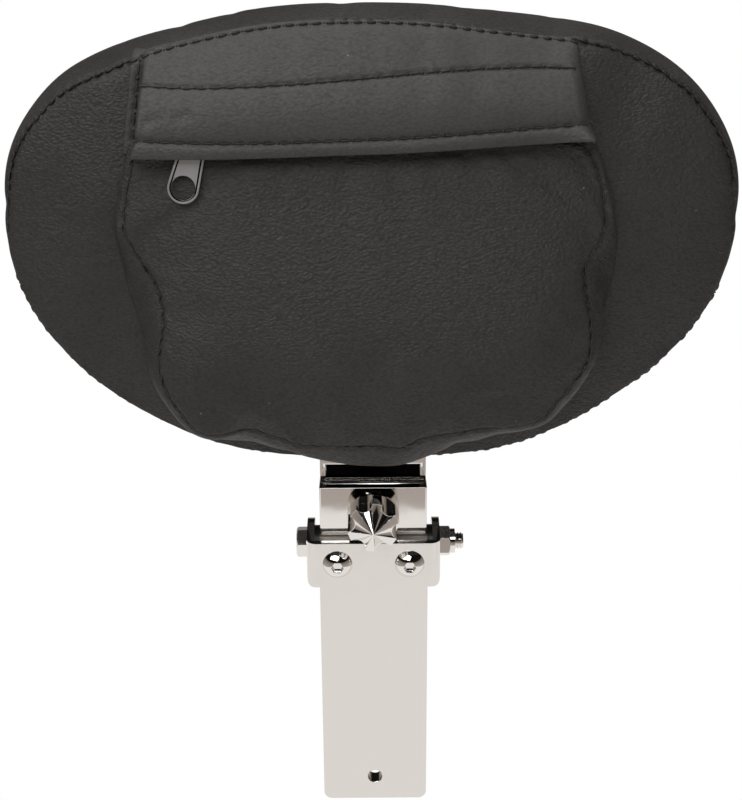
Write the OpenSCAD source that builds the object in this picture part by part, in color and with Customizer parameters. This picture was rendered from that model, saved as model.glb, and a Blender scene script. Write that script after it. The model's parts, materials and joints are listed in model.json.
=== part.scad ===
// Motorcycle backrest: an oval padded rest with a zipped pouch on its rear side, carried by a blade
// that slides in a clamped sleeve. The sleeve folds on a pivot at the top of a flat bar post.
// Millimetres. The origin is the middle of the post's lock hole, +Z runs up the post,
// -Y points to the rear of the motorcycle (the pouch side) and +X to the right seen from there.

/* [Post] */
// Width of the flat bar post
post_w = 50.8; // [44:0.2:60]
// Thickness of the flat bar post
post_t = 8; // [6:0.5:12]
// Height of the post's top end above the lock hole
post_top = 129.8; // [110:0.2:180]
// Distance from the lock hole down to the post's lower end
post_tail = 13; // [9:0.5:30]
// Radius of the post's two lower corners
post_corner_r = 4; // [1:0.5:8]
// Diameter of the lock hole
lock_hole_d = 7; // [5:0.1:10]

/* [Pivot bracket] */
// Thickness of the bent bracket sheet
bracket_t = 3.5; // [2.5:0.1:4.5]
// Height of the bracket's front plate
plate_h = 22.4; // [20.2:0.2:30]
// Gap between each ear and the post's or the sleeve's edge, whichever is wider
ear_gap = 2.35; // [1.8:0.05:5]
// Outer radius of the bracket's two bends
bend_r = 5; // [4.6:0.1:6.5]
// Radius of the ears' rounded ends
ear_r = 11.5; // [9.5:0.1:13.5]
// Distance of each bracket screw from the middle
screw_x = 16.8; // [13:0.1:18]
// Height of the bracket screws above the plate's lower edge
screw_up = 11.8; // [9:0.1:13]
// Thread diameter of the bracket screws
screw_d = 8; // [5:0.5:8]
// Shank length of the bracket screws
screw_len = 10; // [6:0.5:11]
// Head diameter of the bracket screws
screw_head_d = 14; // [12.5:0.1:16]
// Head height of the bracket screws
screw_head_h = 4.4; // [3.4:0.1:5.5]
// Width across flats of the screws' hexagon sockets
socket_af = 5; // [3:0.5:6]
// Depth of the hexagon sockets
socket_depth = 2.8; // [1.5:0.1:3]

/* [Pivot] */
// Distance of the pivot axis below the post's top end
pivot_drop = 8.3; // [7.9:0.1:10]
// Thread diameter of the pivot bolt
bolt_d = 8; // [6:0.5:9]
// Width across flats of the bolt head and the nuts
bolt_af = 13; // [11.5:0.5:14]
// Height of the pivot bolt's head
bolt_head_h = 5.3; // [4:0.1:7]
// Height of the nut's hexagon
nut_hex_h = 5.4; // [4:0.1:8]
// Height of the nut's round locking collar
nut_collar_h = 2.2; // [1:0.1:4]
// Diameter of the nut's round locking collar
nut_collar_d = 11.6; // [10.5:0.1:13]
// Length of thread that stands out of the nut
bolt_tail = 4; // [0.5:0.1:8]
// Distance between the ridges of that thread
thread_pitch = 1.25; // [0.7:0.05:2]
// Depth of the grooves between the ridges
thread_depth = 0.6; // [0.3:0.05:0.8]
// Outer diameter of the hinge barrel
barrel_d = 15.5; // [13:0.1:15.8]
// Gap between the post's back face and the hinge barrel
barrel_gap = 0.75; // [0.5:0.05:2]
// Outer diameter of the two side bushes
bush_d = 15.9; // [13:0.1:16.2]

/* [Sleeve] */
// Width of the sleeve and of the hinge barrel
sleeve_w = 50; // [46.8:0.1:53]
// Height of the sleeve
sleeve_h = 24.1; // [20:0.1:34]
// Thickness of the sleeve's front wall, which takes the clamp stud
front_wall = 7; // [5:0.1:9]
// Thickness of the sleeve's back wall
back_wall = 4; // [3:0.1:6]
// Distance of the sleeve's front face behind the post's middle plane
sleeve_set_back = 1; // [-1:0.1:2]
// Radius of the sleeve's vertical edges
sleeve_edge_r = 0.8; // [0.3:0.1:2]
// Gap between the post's top end and the sleeve that comes to rest over it
stop_gap = 0.5; // [0.4:0.05:1]
// Radius of the weld beads that join the barrel to the sleeve
weld_r = 1.6; // [1:0.1:2.2]

/* [Clamp knob] */
// Height of the clamp nut that stands on the sleeve
clamp_nut_h = 6.2; // [4:0.1:9]
// Thread diameter of the clamp stud
stud_d = 8; // [6:0.5:9]
// Length of the stud inside the knob
stud_grip = 9; // [6:0.5:12]
// Diameter of the knob's thin back flange
flange_d = 24.4; // [22:0.1:24.8]
// Thickness of the knob's back flange
flange_t = 1.6; // [1:0.1:3]
// Diameter over the knob's lobes
lobe_d = 23.8; // [22:0.1:24.6]
// Length of the lobed part of the knob
lobe_len = 9.6; // [7:0.1:14]
// Height of the knob's pointed star
star_h = 7; // [3:0.1:12]
// Share of the lobed outline at the foot of the star, which leaves a narrow rim
star_foot = 0.96; // [0.85:0.01:0.98]
// Share of the lobed outline left at the star's blunt tip
star_tip = 0.05; // [0.03:0.01:0.3]
// Radius of the flutes between the lobes
flute_r = 4.2; // [3:0.1:4.6]
// Distance of the flutes' centres from the knob's axis
flute_pos = 12.8; // [12.4:0.1:14]
// Thickness of the soft pressure pad at the stud's inner end
tip_t = 2; // [1:0.1:3]
// Diameter of the pressure pad
tip_d = 7; // [4:0.1:7.6]

/* [Blade] */
// Width of the blade above the sleeve
blade_w = 49.4; // [44:0.1:52]
// Width of the blade's tongue inside the sleeve
tongue_w = 40; // [36:0.1:41]
// Thickness of the blade
blade_t = 6; // [4:0.1:8]
// Length of the blade above its shoulders
blade_len = 140; // [125:1:165]
// Radius of the blade's upper corners
blade_corner_r = 6; // [2:0.5:12]
// Height of the framed recess at the blade's foot
recess_h = 9.6; // [5:0.1:14]
// Depth of each of the recess's two steps
recess_step = 0.5; // [0.3:0.1:0.8]
// Width of the recess's frame
recess_frame = 1.3; // [1:0.1:3]

/* [Backing board] */
// Thickness of the plywood backing board
board_t = 9; // [6:0.5:12]
// Size of the board's outline as a share of the pad's
board_share = 0.84; // [0.7:0.01:0.88]
// Distance of the board screws from the middle
board_screw_x = 15; // [9:0.5:17]
// Height of the lower board screws above the blade's shoulders
board_screw_z = 78; // [60:1:85]
// Distance between the lower and the upper board screws
board_screw_gap = 45; // [30:1:50]
// Thread diameter of the board screws
board_screw_d = 6; // [4:0.5:7]
// Head diameter of the board screws
board_head_d = 11; // [9:0.5:14]
// Head height of the board screws
board_head_h = 3.2; // [2:0.1:4]
// Flange diameter of the tee nuts
tee_flange_d = 19; // [14:0.5:24]
// Flange thickness of the tee nuts
tee_flange_t = 1.5; // [1:0.1:2.5]
// Barrel diameter of the tee nuts
tee_barrel_d = 8; // [7.8:0.1:10]

/* [Pad] */
// Half width of the pad at its seams
pad_hw = 154.3; // [135:0.5:175]
// Height of the pad's middle line above the sleeve
pad_up = 132.8; // [128:0.2:160]
// Height of the pad above its middle line, at the seams
pad_rise = 76.2; // [68:0.2:90]
// Depth of the pad below its middle line, at the seams
pad_drop = 112.6; // [106:0.2:118]
// Exponent of the upper half's rounded outline
upper_exp = 2.4; // [2.2:0.05:3]
// Exponent of the lower half's rounded outline
lower_exp = 2.18; // [2:0.02:2.4]
// Distance of the rear seam in front of the post's middle plane, towards the pouch
rear_seam = 8; // [6:0.5:14]
// Width of the side band between the seams
band_w = 56; // [50:0.5:70]
// How far the side band bulges out
band_crown = 5; // [3:0.1:9]
// How far the rear cover bulges out
rear_dome = 10; // [6:0.1:14]
// How far the front cover bulges out
front_dome = 12; // [6:0.1:20]
// Thickness of the cover material
cover_t = 1.8; // [1.2:0.1:2.4]
// Share of the radius at which the domes' flat middle begins
dome_core = 0.12; // [0.08:0.01:0.2]

/* [Pouch] */
// Sideways offset of the pouch from the middle
pouch_x = -3; // [-10:0.5:10]
// Half width of the pouch's front panel
pouch_hw = 94; // [90:0.5:98]
// Share by which the front panel widens upwards
pouch_taper = 0.055; // [0:0.005:0.08]
// Height of the pouch's front panel
pouch_h = 129; // [100:0.5:131]
// Squareness exponent of the pouch's upper corners, under the flap
pouch_upper_exp = 8; // [5:0.5:10]
// Squareness exponent of the pouch's lower corners
pouch_lower_exp = 3.3; // [2.8:0.1:4.5]
// How far the pouch stands out at its lower seam
pouch_depth = 17; // [8:0.5:26]
// How much further the middle of the front panel bulges
pouch_bulge = 3.5; // [0:0.5:10]
// How much wider the gusset is where it meets the rear cover
gusset_flare = 9; // [0:0.5:12]
// How far the gusset hangs below the front panel's lower seam
gusset_hang = 4; // [0:0.5:5]

/* [Flap and zip] */
// Height of the zip's middle line above the pad's middle line
zip_up = 33.3; // [26:0.5:38]
// Slope of the zip, flap and pouch top, rising to the right
zip_slope = 0.034; // [0:0.002:0.05]
// Length of the zip's chain
zip_len = 162; // [120:1:166]
// Width of each zip tape
tape_w = 8; // [6:0.5:9]
// Thickness of the zip tapes
tape_t = 0.8; // [0.5:0.1:1.2]
// Distance between two teeth of one side
tooth_pitch = 3; // [2.4:0.2:5]
// Height of the teeth off the tape
tooth_t = 2; // [1:0.1:2.6]
// Half width of the closed chain
chain_hw = 2.4; // [1.8:0.1:2.8]
// Distance of the yoke's and front panel's edges from the zip's middle line
zip_edge = 4.4; // [4.2:0.1:5.5]
// Height of the flap
flap_h = 29.5; // [22:0.5:30]
// Half width of the flap
flap_hw = 95; // [88:0.5:96]
// How much the yoke narrows on each side, from the flap's lower edge to the top seam
yoke_narrow = 11; // [0:0.5:16]
// How far the flap hangs below the zip's middle line
flap_hang = 5.2; // [4.5:0.1:8]
// Gap between the slider's bridge and the flap that hangs in front of it
flap_gap = 1.7; // [0.3:0.1:3]
// Length of the slider
slider_len = 11; // [8:0.5:14]
// Thickness of the slider's plate
slider_t = 1.2; // [0.8:0.1:2]
// Distance of the slider's middle from the chain's left end
slider_start = 12.8; // [8:0.2:20]
// Length of the pull from its pivot to its lower end
pull_len = 25.4; // [20:0.2:30]
// Width of the pull at its ring
pull_w = 12.8; // [12.2:0.1:14]
// Width of the pull at its shoulders
pull_top_w = 10.9; // [9:0.1:12.4]
// Distance of the pull's shoulders below its pivot
pull_shoulder = 4.8; // [4.2:0.1:6]
// Width of the rim round the pull's outer face
pull_rim = 0.75; // [0.5:0.05:1]
// Width of the groove between that rim and the face
pull_groove = 0.7; // [0.4:0.05:1]
// Depth of that groove
pull_groove_depth = 0.4; // [0.2:0.05:0.5]
// Thickness of the pull
pull_t = 1.2; // [1:0.1:1.5]
// Diameter of the hole in the pull's ring
pull_hole_d = 10; // [7:0.1:10.4]
// Sideways lean of the pull at rest, in degrees
pull_lean = 16; // [0:1:30]
// Angle at which the pull lies on the pouch, in degrees
pull_tilt = 8; // [6:0.5:12]
// Diameter of the slider's bridge legs
leg_d = 2; // [1.4:0.1:2.4]
// Clearance of the pull's eye round the bridge leg
eye_gap = 0.6; // [0.4:0.1:0.8]
// Width of the rim round the pull's eye
eye_rim = 0.9; // [0.6:0.1:1]

/* [Fits] */
// Radial clearance of a turning shaft or thread in its bore
run_gap = 0.05; // [0.02:0.01:0.1]
// Radial clearance of a bolt through a plain hole
hole_gap = 0.2; // [0.1:0.05:0.4]
// Clearance between sliding flat faces
slide_gap = 0.15; // [0.1:0.05:0.25]
// Clearance between soft layers and round what they wrap
soft_gap = 0.3; // [0.2:0.05:0.5]

/* [Hidden] */

// Facets of round bores, pins and heads
$fn = 64;
// Points round the pad's outline
pad_steps = 48;
// Points round the pouch's outline
pouch_steps = 40;
// Overshoot of a cutting tool
cut = 1;
// A length that passes through anything on the part
far = 400;

// Bracket: the plate lies on the post's front face, the ears run back past the post's edges
plate_y = -post_t / 2 - bracket_t;
plate_z = post_top - plate_h;
screw_z = plate_z + screw_up;
ear_in = max(post_w, sleeve_w) / 2 + ear_gap;
ear_out = ear_in + bracket_t;

// Pivot: the barrel stands just behind the post
pivot_y = post_t / 2 + barrel_gap + barrel_d / 2;
pivot_z = post_top - pivot_drop;
bush_t = ear_in - sleeve_w / 2 - slide_gap;
ear_low = pivot_z - ear_r;
nut_h = nut_hex_h + nut_collar_h;

// Sleeve: it rests over the post's top end
sleeve_y = sleeve_set_back;
sleeve_z = post_top + stop_gap;
sleeve_top = sleeve_z + sleeve_h;
slot_y = sleeve_y + front_wall;
slot_t = blade_t + 2 * slide_gap;
sleeve_t = front_wall + slot_t + back_wall;

// Blade: its front and back faces, shoulders and foot
blade_y = slot_y + slide_gap;
blade_back = blade_y + blade_t;
shoulder_z = sleeve_top + soft_gap;
blade_top = shoulder_z + blade_len;
tongue_z = sleeve_z + stop_gap;

// Knob: it turns on the stud just clear of the clamp nut
knob_z = sleeve_z + sleeve_h / 2;
knob_y = sleeve_y - clamp_nut_h - soft_gap;
tip_y = blade_y - soft_gap;
stud_end = tip_y - tip_t;
flutes = 6;
lobe_turn = 21;

// How far the bolt's head and its nut happen to be turned, in degrees
head_turn = 43;
nut_turn = 55;

// Board and its fasteners
board_back = blade_back + board_t;
board_screw_low = shoulder_z + board_screw_z;

// Pad: seams, middle line and the band's middle
seam_y = -rear_seam;
front_seam_y = seam_y + band_w;
pad_z = sleeve_top + pad_up;

// Pouch layers, counted from the rear cover outwards
zip_back = seam_y - rear_dome - 2 * soft_gap;
tape_front = zip_back - tape_t;
chain_front = tape_front - tooth_t;
edge_back = tape_front - soft_gap;
edge_front = edge_back - cover_t;
zip_z = pad_z + zip_up;
chain_x = pouch_x - zip_len / 2;
slider_x = chain_x + slider_start;
slider_back = min(chain_front, edge_front) - slide_gap;
slider_front = slider_back - slider_t;
neck_r = leg_d / 2 + eye_gap + eye_rim;
pull_back = slider_front - soft_gap - neck_r * sin(pull_tilt);
bridge_back = pull_back - pull_t - soft_gap;
bridge_t = 0.9;
wing_t = 1.1;
flap_back = bridge_back - bridge_t - flap_gap;
flap_low = zip_z - flap_hang;
pouch_top = zip_z - zip_edge;
pouch_mid = pouch_top - pouch_h / 2;

// Shares of the radius at which the lofted covers have a ring
dome_shares = [1, 0.96, 0.86, 0.7, 0.5, 0.3, dome_core];
band_shares = [0, 0.12, 0.3, 0.5, 0.7, 0.88, 1];
// Shares of the flap's height at which it has a row of points
flap_shares = [0, 0.34, 0.5, 0.66, 0.83, 1];
// Columns of the yoke's and the flap's grids
columns = 14;

function power(v, e) = sign(v) * pow(abs(v), 2 / e);
function mix(a, b, t) = a + (b - a) * t;
function clip(v) = max(0, min(1, v));
function smooth(v) = let (t = clip(v)) t * t * (3 - 2 * t);
function crown(t) = 1 - pow(2 * t - 1, 2);
function dome(s) = 1 - pow(clip(s), 3);
function tangent_point(p, c, r) =
    let (d = p - c, turn = atan2(d.y, d.x) - acos(r / norm(d))) c + r * [cos(turn), sin(turn)];

// The pad's outline, grown by g and drawn at share s of its radius
function pad_ring(s, g, y) = [for (i = [0 : pad_steps - 1])
    let (a = 360 * i / pad_steps,
         e = sin(a) >= 0 ? upper_exp : lower_exp,
         h = sin(a) >= 0 ? pad_rise : pad_drop)
    [(pad_hw + g) * s * power(cos(a), e), y, pad_z + (h + g) * s * power(sin(a), e)]];

// Share of the pad's radius at a place on its rear side, and the rear cover's surface there
function pad_share(x, z) =
    let (e = z >= pad_z ? upper_exp : lower_exp, h = z >= pad_z ? pad_rise : pad_drop)
    pow(pow(abs(x) / pad_hw, e) + pow(abs(z - pad_z) / h, e), 1 / e);
function rear_y(x, z) = seam_y - rear_dome * dome(pad_share(x, z));
function seam_z(x) = pad_z + pad_rise * pow(1 - pow(abs(x) / pad_hw, upper_exp), 1 / upper_exp);

// Rings of the side band's outer face, drawn in by g
function band_rings(g, y0, y1) =
    [for (t = band_shares) pad_ring(1, band_crown * crown(t) - g, mix(y0, y1, t))];

// Zip line, and the half width of the yoke and flap at a height
function zip_line(x) = zip_z + zip_slope * x;
function yoke_hw(z) = flap_hw - yoke_narrow * clip((z - flap_low) / (pad_z + pad_rise - flap_low));

// The yoke's back face runs from the rear cover at the seam to the zip tape's front
function yoke_back(x, z) =
    let (low = zip_line(x) + tape_w, t = clip((seam_z(x) - z) / (seam_z(x) - low)))
    mix(rear_y(x, z) - soft_gap, edge_back, t);

// Front panel: how far it stands out at a height, and its outline from the rear cover (t = 0)
// to its front seam (t = 1)
function pouch_y(z) = edge_front - pouch_depth * smooth((pouch_top - z) / pouch_h);
function pouch_point(a, t, g) =
    let (e = sin(a) >= 0 ? pouch_upper_exp : pouch_lower_exp,
         up = power(sin(a), e), side = power(cos(a), e),
         low = clip(-up + 0.6),
         x = pouch_x + side * (pouch_hw * (1 + pouch_taper * up) + g + (1 - t) * gusset_flare * low),
         hang = up < 0 ? 2 * gusset_hang * t * (1 - t) : 0,
         z = pouch_mid + up * (pouch_h / 2 + g + hang) + zip_slope * x * clip(up))
    [x, mix(rear_y(x, z) - soft_gap, pouch_y(z) + cover_t + soft_gap, t), z];
function pouch_ring(t, g) = [for (i = [0 : pouch_steps - 1]) pouch_point(360 * i / pouch_steps, t, g)];

// One ring of the front panel at share s, set back by b
function panel_ring(s, b) = [for (i = [0 : pouch_steps - 1])
    let (a = 360 * i / pouch_steps, p = pouch_point(a, 1, 0),
         x = mix(pouch_x, p.x, s), z = mix(pouch_mid, p.z, s),
         peak = pouch_y(pouch_mid) - pouch_bulge,
         bell = (1 - cos(180 * s)) / 2,
         rise = mix(pow(s, 2.4), bell, (1 + sin(a)) / 2))
    [x, mix(peak, pouch_y(p.z), rise) + b, z]];

// Solid through a list of rings, closed by flat ends or, when looped, joined end to end
module loft(rings, looped = false) {
    n = len(rings[0]);
    m = len(rings);
    last = looped ? m : m - 1;
    sides = [for (k = [0 : last - 1], i = [0 : n - 1])
        let (j = (i + 1) % n, up = (k + 1) % m) [k * n + i, k * n + j, up * n + j, up * n + i]];
    ends = looped ? [] : [[for (i = [n - 1 : -1 : 0]) i], [for (i = [0 : n - 1]) (m - 1) * n + i]];
    polyhedron([for (r = rings) each r], concat(sides, ends));
}

// Closed sheet between two grids of points, rows going up and columns going right
module sheet(front, back) {
    m = len(front) - 1;
    n = len(front[0]) - 1;
    w = n + 1;
    b = (m + 1) * w;
    faces = concat(
        [for (j = [0 : m - 1], i = [0 : n - 1])
            [j * w + i, (j + 1) * w + i, (j + 1) * w + i + 1, j * w + i + 1]],
        [for (j = [0 : m - 1], i = [0 : n - 1])
            [b + j * w + i, b + j * w + i + 1, b + (j + 1) * w + i + 1, b + (j + 1) * w + i]],
        [for (i = [0 : n - 1]) [i, i + 1, b + i + 1, b + i]],
        [for (i = [0 : n - 1]) [m * w + i + 1, m * w + i, b + m * w + i, b + m * w + i + 1]],
        [for (j = [0 : m - 1]) [(j + 1) * w, j * w, b + j * w, b + (j + 1) * w]],
        [for (j = [0 : m - 1]) [j * w + n, (j + 1) * w + n, b + (j + 1) * w + n, b + j * w + n]]);
    polyhedron([for (r = front) each r, for (r = back) each r], faces);
}

// Rounded rectangle from x = -hw to hw and y = low to high, with the lower corners rounded
module rounded_foot(hw, low, high, r) {
    translate([-hw, low + r]) square([2 * hw, high - low - r]);
    translate([-hw + r, low]) square([2 * hw - 2 * r, r]);
    for (side = [-1, 1]) translate([side * (hw - r), low + r]) circle(r);
}

// Rectangle with four rounded corners, its lower left corner at the origin
module rounded_plate(w, h, r) {
    translate([r, 0]) square([w - 2 * r, h]);
    translate([0, r]) square([w, h - 2 * r]);
    for (x = [r, w - r], y = [r, h - r]) translate([x, y]) circle(r);
}

// Hexagon body with its outer edge turned off at 30 degrees
module hex_body(af, h, turn = 0) {
    corner_r = af / 2 / cos(30);
    bevel = (corner_r - af / 2) * tan(30) + 0.2;
    intersection() {
        rotate(turn) cylinder(r = corner_r, h = h, $fn = 6);
        rotate_extrude() polygon([[0, 0], [corner_r, 0], [corner_r, h - bevel],
                                  [af / 2 - 0.2, h], [0, h]]);
    }
}

// Point a solid drawn along +Z towards the rear of the motorcycle, or to the right
module rearward() rotate([90, 0, 0]) children();
module rightward() rotate([0, 90, 0]) children();
module round_hole(x, z, r) translate([x, far / 2, z]) rearward() cylinder(r = r, h = far);

module lower_post() color("gainsboro") difference() {
    rearward() linear_extrude(post_t, center = true)
        rounded_foot(post_w / 2, -post_tail, post_top, post_corner_r);
    round_hole(0, 0, lock_hole_d / 2);
    for (side = [-1, 1]) round_hole(side * screw_x, screw_z, screw_d / 2 + run_gap);
}

module bracket_side() {
    corner = [-post_t / 2, post_top];
    pivot = [pivot_y, pivot_z];
    translate([plate_y, plate_z]) square([bracket_t, plate_h]);
    polygon([[corner.x, ear_low], [pivot.x, ear_low], pivot, tangent_point(corner, pivot, ear_r), corner]);
    translate(pivot) circle(ear_r);
}

module pivot_bracket() color("gainsboro") difference() {
    intersection() {
        linear_extrude(far) difference() {
            rounded_foot(ear_out, plate_y, far, bend_r);
            rounded_foot(ear_in, plate_y + bracket_t, far + cut, bend_r - bracket_t);
        }
        rotate([90, 0, 90]) linear_extrude(2 * ear_out, center = true) bracket_side();
        translate([0, far, 0]) rearward() linear_extrude(2 * far)
            rounded_foot(ear_out, plate_z, far, ear_low - plate_z);
    }
    for (side = [-1, 1]) round_hole(side * screw_x, screw_z, screw_d / 2 + hole_gap);
    translate([-far / 2, pivot_y, pivot_z]) rightward() cylinder(d = bolt_d + 2 * hole_gap, h = far);
}

module button_screw() {
    cap_r = (pow(screw_head_d / 2, 2) + pow(screw_head_h, 2)) / (2 * screw_head_h);
    difference() {
        rotate_extrude() intersection() {
            translate([0, screw_head_h - cap_r]) circle(cap_r);
            square([screw_head_d / 2, screw_head_h]);
        }
        translate([0, 0, screw_head_h - socket_depth])
            cylinder(d = socket_af / cos(30), h = socket_depth + cut, $fn = 6);
    }
    translate([0, 0, -screw_len]) cylinder(d = screw_d, h = screw_len);
}

module bracket_screws() color("silver") for (side = [-1, 1])
    translate([side * screw_x, plate_y, screw_z]) rearward() button_screw();

// Free end of a threaded rod, drawn with round ridges
module thread_tail(d, length) {
    ridges = max(1, round(length / thread_pitch));
    step = length / ridges;
    rotate_extrude() polygon(concat([[0, -cut], [d / 2, -cut]],
        [for (k = [0 : ridges - 1]) each [[d / 2, (k + 0.15) * step], [d / 2 - thread_depth, (k + 0.6) * step]]],
        [[d / 2 - thread_depth, length], [0, length]]));
}

module pivot_bolt() color("silver") {
    shank = 2 * ear_out + nut_h;
    translate([-ear_out, pivot_y, pivot_z]) {
        rotate([0, -90, 0]) hex_body(bolt_af, bolt_head_h, head_turn);
        rightward() cylinder(d = bolt_d, h = shank);
        translate([shank, 0, 0]) rightward() thread_tail(bolt_d, bolt_tail);
    }
}

module pivot_nut() color("silver") translate([ear_out, pivot_y, pivot_z]) rightward() difference() {
    union() {
        hex_body(bolt_af, nut_hex_h, nut_turn);
        cylinder(d = nut_collar_d, h = nut_h);
    }
    translate([0, 0, -cut]) cylinder(d = bolt_d + 2 * run_gap, h = nut_h + 2 * cut);
}

module pivot_bushes() color("dimgray") for (side = [0, 1]) mirror([side, 0, 0])
    translate([ear_in - bush_t, pivot_y, pivot_z]) rightward() difference() {
        cylinder(d = bush_d, h = bush_t);
        translate([0, 0, -cut]) cylinder(d = bolt_d + 2 * hole_gap, h = bush_t + 2 * cut);
    }

module height_sleeve() color("gainsboro") difference() {
    translate([-sleeve_w / 2, sleeve_y, sleeve_z]) linear_extrude(sleeve_h)
        rounded_plate(sleeve_w, sleeve_t, sleeve_edge_r);
    translate([-tongue_w / 2 - slide_gap, slot_y, sleeve_z - cut])
        cube([tongue_w + 2 * slide_gap, slot_t, sleeve_h + 2 * cut]);
    translate([0, slot_y + cut, knob_z]) rearward()
        cylinder(d = stud_d + 2 * run_gap, h = front_wall + 2 * cut);
}

// Barrel with a saddle up to the sleeve's underside and a weld bead along each side of it
module hinge_barrel() color("silver") {
    saddle_y = barrel_d / 3;
    translate([-sleeve_w / 2, pivot_y, pivot_z]) difference() {
        union() {
            rightward() cylinder(d = barrel_d, h = sleeve_w);
            translate([0, -saddle_y, 0]) cube([sleeve_w, 2 * saddle_y, sleeve_z - pivot_z]);
            intersection() {
                for (side = [-1, 1]) translate([0, side * saddle_y, sleeve_z - pivot_z - weld_r])
                    rightward() cylinder(r = weld_r, h = sleeve_w, $fn = 24);
                cube([2 * sleeve_w, far, 2 * (sleeve_z - pivot_z)], center = true);
            }
        }
        translate([-cut, 0, 0]) rightward() cylinder(d = bolt_d + 2 * run_gap, h = sleeve_w + 2 * cut);
    }
}

module clamp_nut() color("silver") translate([0, sleeve_y, knob_z]) rearward() difference() {
    hex_body(bolt_af, clamp_nut_h);
    translate([0, 0, -cut]) cylinder(d = stud_d + 2 * run_gap, h = clamp_nut_h + 2 * cut);
}

module lobed_outline() rotate(lobe_turn) difference() {
    circle(d = lobe_d);
    for (i = [0 : flutes - 1]) rotate((i + 0.5) * 360 / flutes) translate([flute_pos, 0]) circle(flute_r);
}

module clamp_knob() color("gainsboro") translate([0, knob_y, knob_z]) rearward() difference() {
    union() {
        cylinder(d = flange_d, h = flange_t);
        linear_extrude(flange_t + lobe_len) lobed_outline();
        translate([0, 0, flange_t + lobe_len]) linear_extrude(star_h, scale = star_tip)
            scale(star_foot) lobed_outline($fn = 36);
    }
    translate([0, 0, -cut]) cylinder(d = stud_d + 2 * run_gap, h = stud_grip + cut);
}

module knob_stud() color("silver") translate([0, stud_end, knob_z]) rearward()
    cylinder(d = stud_d, h = stud_end - knob_y + stud_grip);

module pressure_pad() color("peru") translate([0, tip_y, knob_z]) rearward()
    cylinder(d = tip_d, h = tip_t);

module blade_outline() {
    translate([-tongue_w / 2, tongue_z]) square([tongue_w, shoulder_z - tongue_z + cut]);
    translate([-blade_w / 2, shoulder_z]) square([blade_w, blade_len - blade_corner_r]);
    translate([-blade_w / 2 + blade_corner_r, blade_top - blade_corner_r])
        square([blade_w - 2 * blade_corner_r, blade_corner_r]);
    for (side = [-1, 1]) translate([side * (blade_w / 2 - blade_corner_r), blade_top - blade_corner_r])
        circle(blade_corner_r);
}

// The places of the four board screws
module at_board_screws() for (side = [-1, 1], row = [0, 1])
    translate([side * board_screw_x, 0, board_screw_low + row * board_screw_gap]) children();

module upright_blade() color("gainsboro") difference() {
    translate([0, blade_back, 0]) rearward() linear_extrude(blade_t) blade_outline();
    for (step = [1, 2]) {
        inset = step * recess_frame;
        translate([-blade_w / 2 + inset, blade_y - cut, shoulder_z + inset / 2])
            cube([blade_w - 2 * inset, cut + step * recess_step, recess_h - inset]);
    }
    at_board_screws() round_hole(0, 0, board_screw_d / 2 + hole_gap);
}

module backing_board() color("burlywood") difference() {
    translate([0, board_back, 0]) rearward() linear_extrude(board_t)
        polygon([for (p = pad_ring(board_share, 0, 0)) [p.x, p.z]]);
    at_board_screws() round_hole(0, 0, tee_barrel_d / 2 + run_gap);
}

module board_screws() color("silver") at_board_screws() translate([0, blade_y, 0]) rearward() {
    cylinder(d = board_head_d, h = board_head_h);
    translate([0, 0, -blade_t - board_t]) cylinder(d = board_screw_d, h = blade_t + board_t);
}

module tee_nuts() color("silver") at_board_screws() translate([0, board_back, 0]) rearward() difference() {
    union() {
        translate([0, 0, -tee_flange_t]) cylinder(d = tee_flange_d, h = tee_flange_t);
        cylinder(d = tee_barrel_d, h = board_t - cut);
    }
    translate([0, 0, -tee_flange_t - cut])
        cylinder(d = board_screw_d + 2 * run_gap, h = tee_flange_t + board_t + 2 * cut);
}

// Foam behind the board, with a channel for the blade and the screw heads
module rear_foam() color("khaki") {
    inset = cover_t + soft_gap;
    stop_y = blade_back - soft_gap;
    split = (stop_y - seam_y) / band_w;
    difference() {
        loft(concat(
            [for (k = [len(dome_shares) - 1 : -1 : 0]) let (s = dome_shares[k])
                pad_ring(s, -inset, min(seam_y, seam_y - rear_dome * dome(s) + inset))],
            [for (t = [0.15, 0.5, 1])
                pad_ring(1, band_crown * crown(t * split) - inset, mix(seam_y, stop_y, t))]));
        translate([-blade_w / 2 - soft_gap, blade_y - board_head_h - soft_gap, -far])
            cube([blade_w + 2 * soft_gap, far, far + blade_top + soft_gap]);
    }
}

// Foam in front of the board, with a pocket for the board and the tee nuts' flanges
module front_foam() color("khaki") {
    inset = cover_t + soft_gap;
    start_y = blade_back + soft_gap;
    split = (start_y - seam_y) / band_w;
    difference() {
        loft(concat(
            [for (t = [0, 0.3, 0.6, 1])
                pad_ring(1, band_crown * crown(mix(split, 1, t)) - inset, mix(start_y, front_seam_y, t))],
            [for (s = dome_shares)
                if (s < 1) pad_ring(s, -inset, max(front_seam_y, front_seam_y + front_dome * dome(s) - inset))]));
        translate([0, board_back + soft_gap, 0]) rearward() linear_extrude(board_t + cut)
            polygon([for (p = pad_ring(board_share, 2 * soft_gap, 0)) [p.x, p.z]]);
        at_board_screws() translate([0, board_back + tee_flange_t + soft_gap, 0]) rearward()
            cylinder(d = tee_flange_d + 2 * soft_gap, h = far, $fn = 24);
    }
}

module rear_cover() color("dimgray") loft(concat(
    [for (k = [len(dome_shares) - 1 : -1 : 0]) let (s = dome_shares[k])
        pad_ring(s, 0, seam_y - rear_dome * dome(s))],
    [for (s = dome_shares) pad_ring(s, -cover_t, min(seam_y, seam_y - rear_dome * dome(s) + cover_t))]));

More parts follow.
